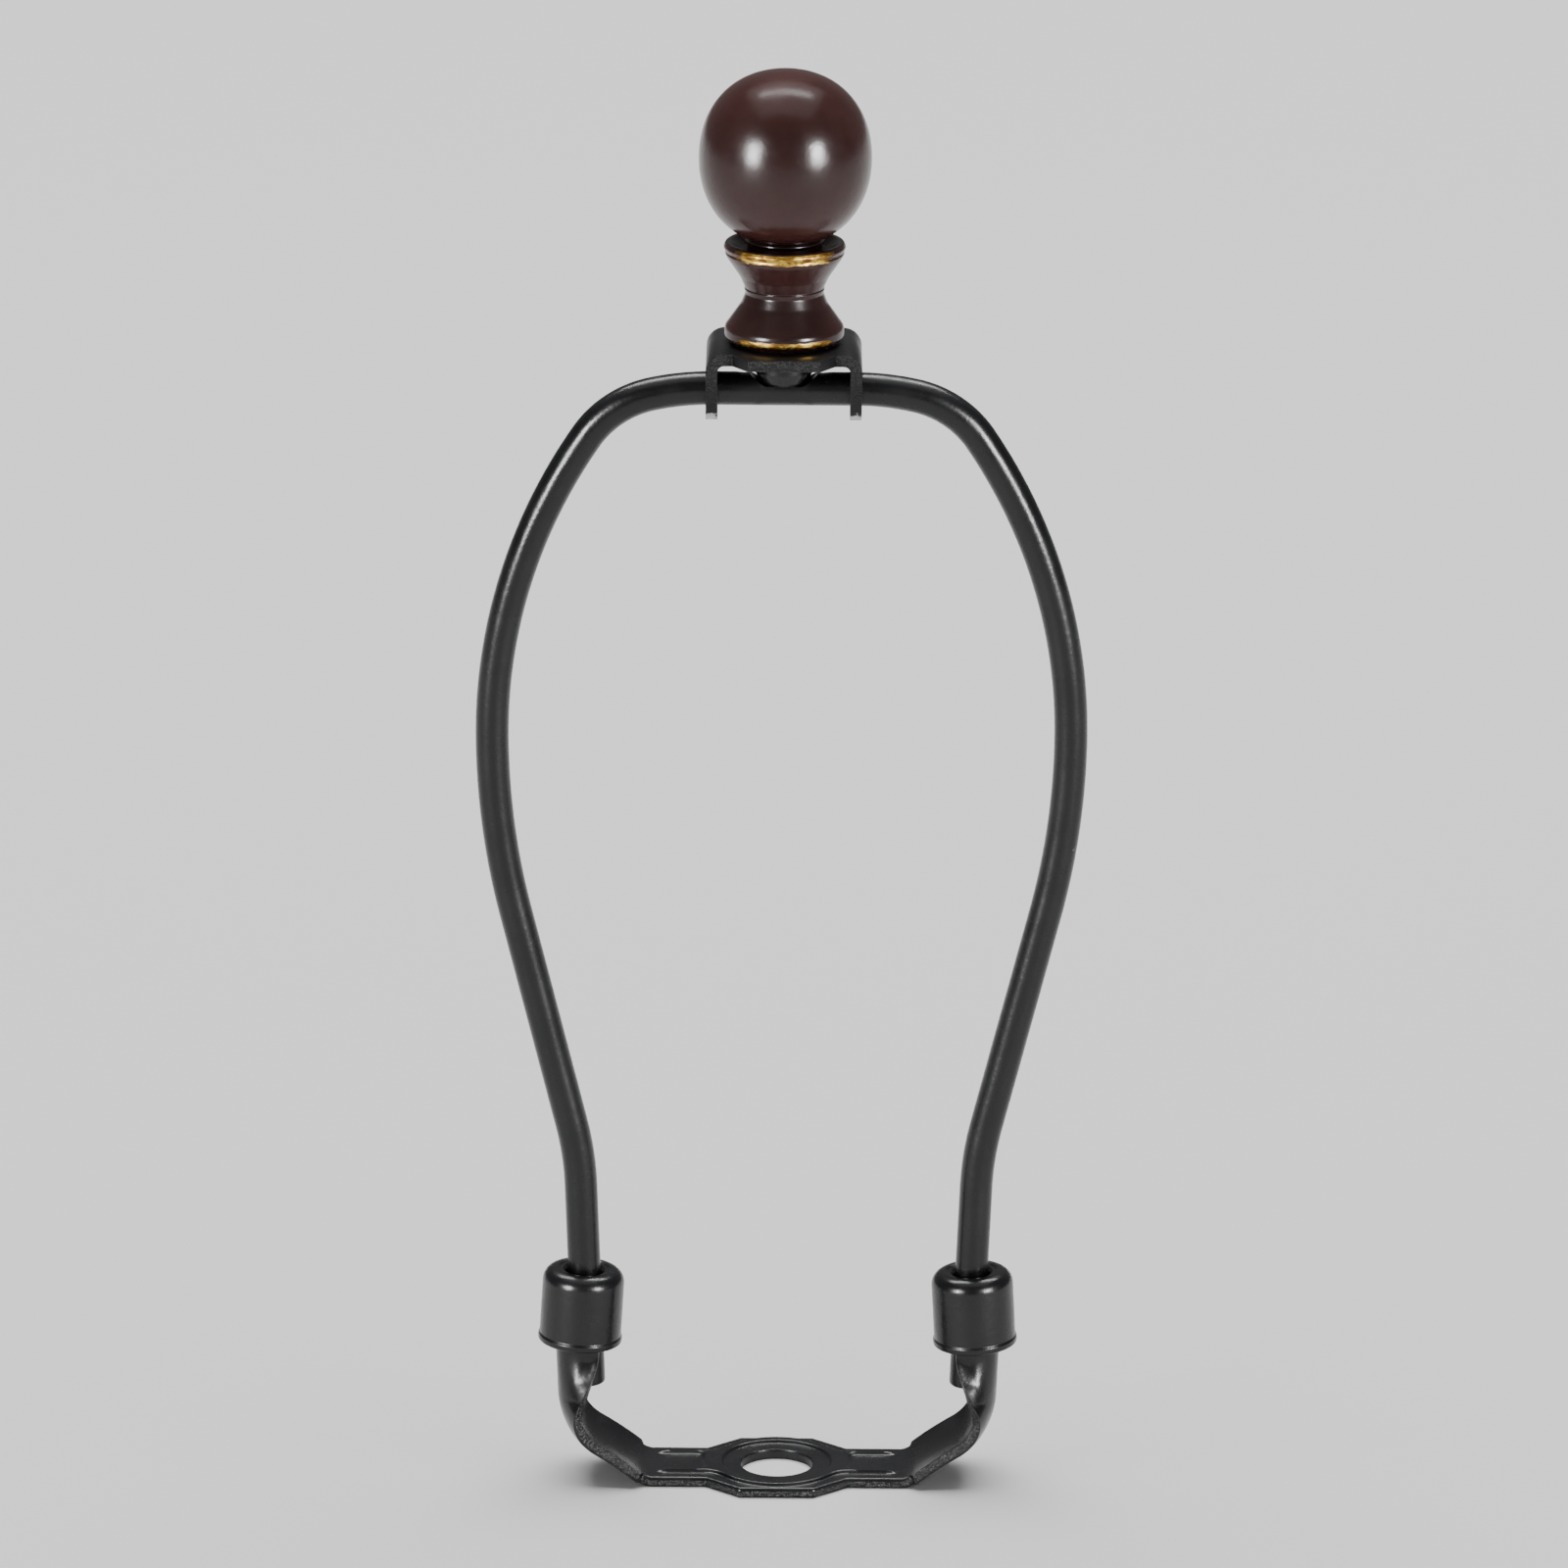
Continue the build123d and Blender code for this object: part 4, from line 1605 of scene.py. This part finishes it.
@dataclass
class Finial:
    """The turned finial: beaded base, waist, dished lip, collar and ball.

    Attributes:
        base: the height of its seat.
        hole_radius: the radius of the hole for the stud.
        hole_depth: the hole's depth.
        ball_centre: the height of the ball's widest place above the seat.
        ball_half_width: half the ball's width.
        ball_half_height: half its height.
        ball_fullness: the length of its curve's handles as a share of those.
        collar_radius: the radius of the collar below the ball.
        ball_steps: the steps of each half of the ball's curve.
    """

    base: float = 170.75
    hole_radius: float = 3.255
    hole_depth: float = 11.0
    ball_centre: float = 26.5
    ball_half_width: float = 12.15
    ball_half_height: float = 12.45
    ball_fullness: float = 0.6
    collar_radius: float = 5.25
    ball_steps: int = 64

    def spool(self) -> list[Point]:
        """Traces the spool from the hole's end, over the base, waist and lip, to the collar.

        Returns:
            Points of radius and height above the base.
        """
        return rounded_profile(
            [
                Corner(0.0, self.hole_depth),
                Corner(self.hole_radius, self.hole_depth),
                Corner(self.hole_radius, 0.0, 0.15),
                Corner(7.5, 0.0, 0.5),
                Corner(8.45, 0.95, 0.9),
                Corner(8.42, 2.3, 1.4),
                Corner(6.1, 5.6, 3.0),
                Corner(5.5, 7.15, 0.5),
                Corner(5.66, 7.75, 0.12),
                Corner(5.56, 7.95, 0.1),
                Corner(6.25, 9.5, 3.0),
                Corner(8.1, 12.25, 0.8),
                Corner(8.42, 12.85, 0.3),
                Corner(8.3, 13.2, 0.2),
                Corner(8.66, 13.75, 0.45),
                Corner(8.3, 14.5, 0.4),
                Corner(7.65, 14.45, 0.3),
                Corner(6.2, 13.1, 0.5),
                Corner(self.collar_radius, 13.1, 0.25),
                Corner(self.collar_radius, 14.2, 0.15),
                Corner(5.65, 14.72, 0.22),
                Corner(self.collar_radius, 15.2, 0.1),
                Corner(self.collar_radius, 16.0),
            ],
            arc_steps=10,
        )

    def ball(self) -> list[Point]:
        """Traces the ball from below the collar's top up to its pole.

        Returns:
            Points of radius and height above the base.
        """
        curve = [self.ball_point(step / self.ball_steps) for step in range(self.ball_steps + 1)]
        lower = [point for point in reversed(curve) if point[0] > self.collar_radius]
        points = [(radius, self.ball_centre - rise) for radius, rise in lower]
        return points + [(radius, self.ball_centre + rise) for radius, rise in curve[1:]]

    def ball_point(self, share: float) -> Point:
        """Finds a point of the ball's quarter curve, which is a little fuller than an ellipse.

        Args:
            share: 0 at the widest place, 1 at the pole.

        Returns:
            The radius, and the distance from the ball's middle plane.
        """
        width, height, full = self.ball_half_width, self.ball_half_height, self.ball_fullness
        rest = 1 - share
        weights = (rest**3, 3 * share * rest**2, 3 * share**2 * rest, share**3)
        radii = (width, width, full * width, 0.0)
        rises = (0.0, full * height, height, height)
        radius = sum(weight * value for weight, value in zip(weights, radii))
        return radius, sum(weight * value for weight, value in zip(weights, rises))

    def build(self, finish: bpy.types.Material) -> bpy.types.Object:
        """Builds and dresses the finial.

        Args:
            finish: its material.

        Returns:
            The finial.
        """
        profile = self.spool()[:-1] + self.ball()
        bm = turned(profile, closed=False, steps=160)
        bmesh.ops.translate(bm, vec=(0.0, 0.0, self.base), verts=bm.verts)
        return dress(bm, "turned_finial", finish, "finial", "finial", sharp=50.0)


# Studio


@dataclass(frozen=True)
class Softbox:
    """A soft area light.

    Attributes:
        name: its name.
        place: where it stands, in metres.
        size: its width and height, in metres.
        radiance: how bright its face is.
        aim: the point that it faces, in metres.
        mirrored: whether glossy surfaces show it.
        spreads: whether it lights dull surfaces; one that doesn't is seen in reflections only.
        spares_finial: whether it leaves the finial alone and lights only the metal.
    """

    name: str
    place: Place
    size: Point
    radiance: float
    aim: Place
    mirrored: bool = True
    spreads: bool = True
    spares_finial: bool = False

    def build(self, finial: bpy.types.Object) -> None:
        """Sets up the light.

        Args:
            finial: the finial, which some lights leave alone.
        """
        lamp = bpy.data.lights.new(self.name, "AREA")
        lamp.shape = "RECTANGLE"
        lamp.size, lamp.size_y = self.size
        lamp.energy = math.pi * self.size[0] * self.size[1] * self.radiance
        holder = bpy.data.objects.new(self.name, lamp)
        holder.visible_glossy, holder.visible_diffuse = self.mirrored, self.spreads
        holder.location = self.place
        ahead = Vector(self.aim) - Vector(self.place)
        holder.rotation_euler = ahead.to_track_quat("-Z", "Y").to_euler()
        bpy.context.scene.collection.objects.link(holder)
        if self.spares_finial:
            spared = bpy.data.collections.new(f"{self.name} spares")
            spared.objects.link(finial)
            spared.collection_objects[0].light_linking.link_state = "EXCLUDE"
            holder.light_linking.receiver_collection = spared


@dataclass
class Studio:
    """The floor, the lights and the camera at the photograph's viewing angle.

    Attributes:
        camera_place: where the camera stands, in metres.
        camera_pitch: how far it looks down, in degrees.
        camera_roll: how far it is rolled, in degrees.
        lens: its focal length, in millimetres.
        sensor: the width of its sensor, in millimetres.
        sight: how far it sees, in metres.
        floor_half: half the floor's width, in metres.
        floor_grey: how pale the floor is.
        floor_roughness: how dull it is.
        world_strength: the strength of the even light from all around.
        softboxes: the lights.
    """

    camera_place: Place = (0.0004, -1.18, 0.4663)
    camera_pitch: float = 17.0
    camera_roll: float = 0.39
    lens: float = 198.0
    sensor: float = 36.0
    sight: float = 20.0
    floor_half: float = 4.0
    floor_grey: float = 0.9
    floor_roughness: float = 0.9
    world_strength: float = 0.2
    softboxes: tuple[Softbox, ...] = (
        *(
            Softbox(
                name=f"{side.name.lower()} softbox",
                place=(0.76 * side.value, -0.80, 0.36),
                size=(0.25, 0.38),
                radiance=85.0,
                aim=(0.0, 0.0, 0.25),
                spreads=False,
            )
            for side in Side
        ),
        Softbox(
            name="overhead strip",
            place=(0.0, 0.34, 1.32),
            size=(1.0, 0.22),
            radiance=7.0,
            aim=(0.0, 0.0, 0.1),
            spreads=False,
        ),
        Softbox(
            name="rim strip",
            place=(0.0, 0.56, 1.18),
            size=(1.3, 0.12),
            radiance=34.0,
            aim=(0.0, 0.0, 0.1),
            spreads=False,
            spares_finial=True,
        ),
        Softbox(
            name="ceiling",
            place=(0.0, 0.3, 2.0),
            size=(2.4, 2.4),
            radiance=0.8,
            aim=(0.0, 0.3, 0.0),
            spreads=False,
        ),
        Softbox(
            name="floor light",
            place=(0.0, 0.8, 3.0),
            size=(3.0, 3.0),
            radiance=5.0,
            aim=(0.0, 0.4, 0.0),
            mirrored=False,
        ),
    )

    def build_floor(self) -> None:
        """Lays the plain pale floor."""
        bm = bmesh.new()
        bmesh.ops.create_grid(bm, x_segments=1, y_segments=1, size=self.floor_half)
        mesh = bpy.data.meshes.new("floor")
        bm.to_mesh(mesh)
        bm.free()
        material = bpy.data.materials.new("pale floor")
        material.use_nodes = True
        principled = material.node_tree.nodes["Principled BSDF"]
        principled.inputs["Base Color"].default_value = (*[self.floor_grey] * 3, 1.0)
        principled.inputs["Roughness"].default_value = self.floor_roughness
        mesh.materials.append(material)
        floor = bpy.data.objects.new("floor", mesh)
        bpy.context.scene.collection.objects.link(floor)

    def build_world(self) -> None:
        """Fills the studio with even light."""
        world = bpy.data.worlds.new("studio")
        world.use_nodes = True
        background = world.node_tree.nodes["Background"]
        background.inputs["Color"].default_value = (1.0, 1.0, 1.0, 1.0)
        background.inputs["Strength"].default_value = self.world_strength
        bpy.context.scene.world = world

    def build_camera(self) -> None:
        """Sets up the camera."""
        lens = bpy.data.cameras.new("camera")
        lens.lens, lens.sensor_width, lens.clip_end = self.lens, self.sensor, self.sight
        camera = bpy.data.objects.new("camera", lens)
        pitch = Matrix.Rotation(math.radians(90.0 - self.camera_pitch), 4, "X")
        roll = Matrix.Rotation(math.radians(self.camera_roll), 4, "Z")
        camera.matrix_world = Matrix.Translation(self.camera_place) @ pitch @ roll
        bpy.context.scene.collection.objects.link(camera)
        bpy.context.scene.camera = camera

    def build(self, finial: bpy.types.Object) -> None:
        """Sets up the whole studio.

        Args:
            finial: the finial, which some lights leave alone.
        """
        self.build_floor()
        self.build_world()
        self.build_camera()
        for softbox in self.softboxes:
            softbox.build(finial)


def main() -> None:
    """Builds the pieces in order and reports them."""
    logging.basicConfig(level=logging.INFO, format="%(name)s: %(message)s")
    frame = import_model()
    grain, chip_and_sheen = surface_grain(), chip_and_sheen_group()
    wire_chips = (
        ChipAndSheenSpot((41.5, -1.1, 98.6), 0.8),
        ChipAndSheenSpot((41.6, -1.2, 96.7), 0.6),
        ChipAndSheenSpot((27.3, -1.6, 158.5), 0.7),
    )
    # Painted reflections: pale spots at the front of the clip's ear tips, where their rounded lower
    # corners catch the floor's light.
    ear_tip_sheen = tuple(ChipAndSheenSpot((10.2 * side.value, -2.7, 160.1), 1.3) for side in Side)
    wire_black = BlackenedSteel("black wire", spots=wire_chips).build(grain, chip_and_sheen)
    sheet_black = BlackenedSteel("black sheet").build(grain, chip_and_sheen)
    clip_black = BlackenedSteel(
        "black clip",
        # The pale colour of the painted reflections on the ear tips.
        chip_and_sheen_colour=(0.5, 0.49, 0.52),
        roughness_low=0.32,
        roughness_high=0.4,
        ior=1.3,
        spots=ear_tip_sheen,
    ).build(grain, chip_and_sheen)
    wire, finial = HarpWire(), Finial()
    gilt_resin = GiltResin("gilt resin", finial.base).build(grain)
    wire.build(wire_black)
    Saddle().build(sheet_black)
    Sleeve(Side.LEFT, 3.4).build(wire, sheet_black)
    Sleeve(Side.RIGHT, 3.3).build(wire, sheet_black)
    SwivelClip().build(frame, clip_black)
    Stud().build(sheet_black)
    turned_finial = finial.build(gilt_resin)
    Studio().build(turned_finial)


if __name__ == "__main__":
    main()
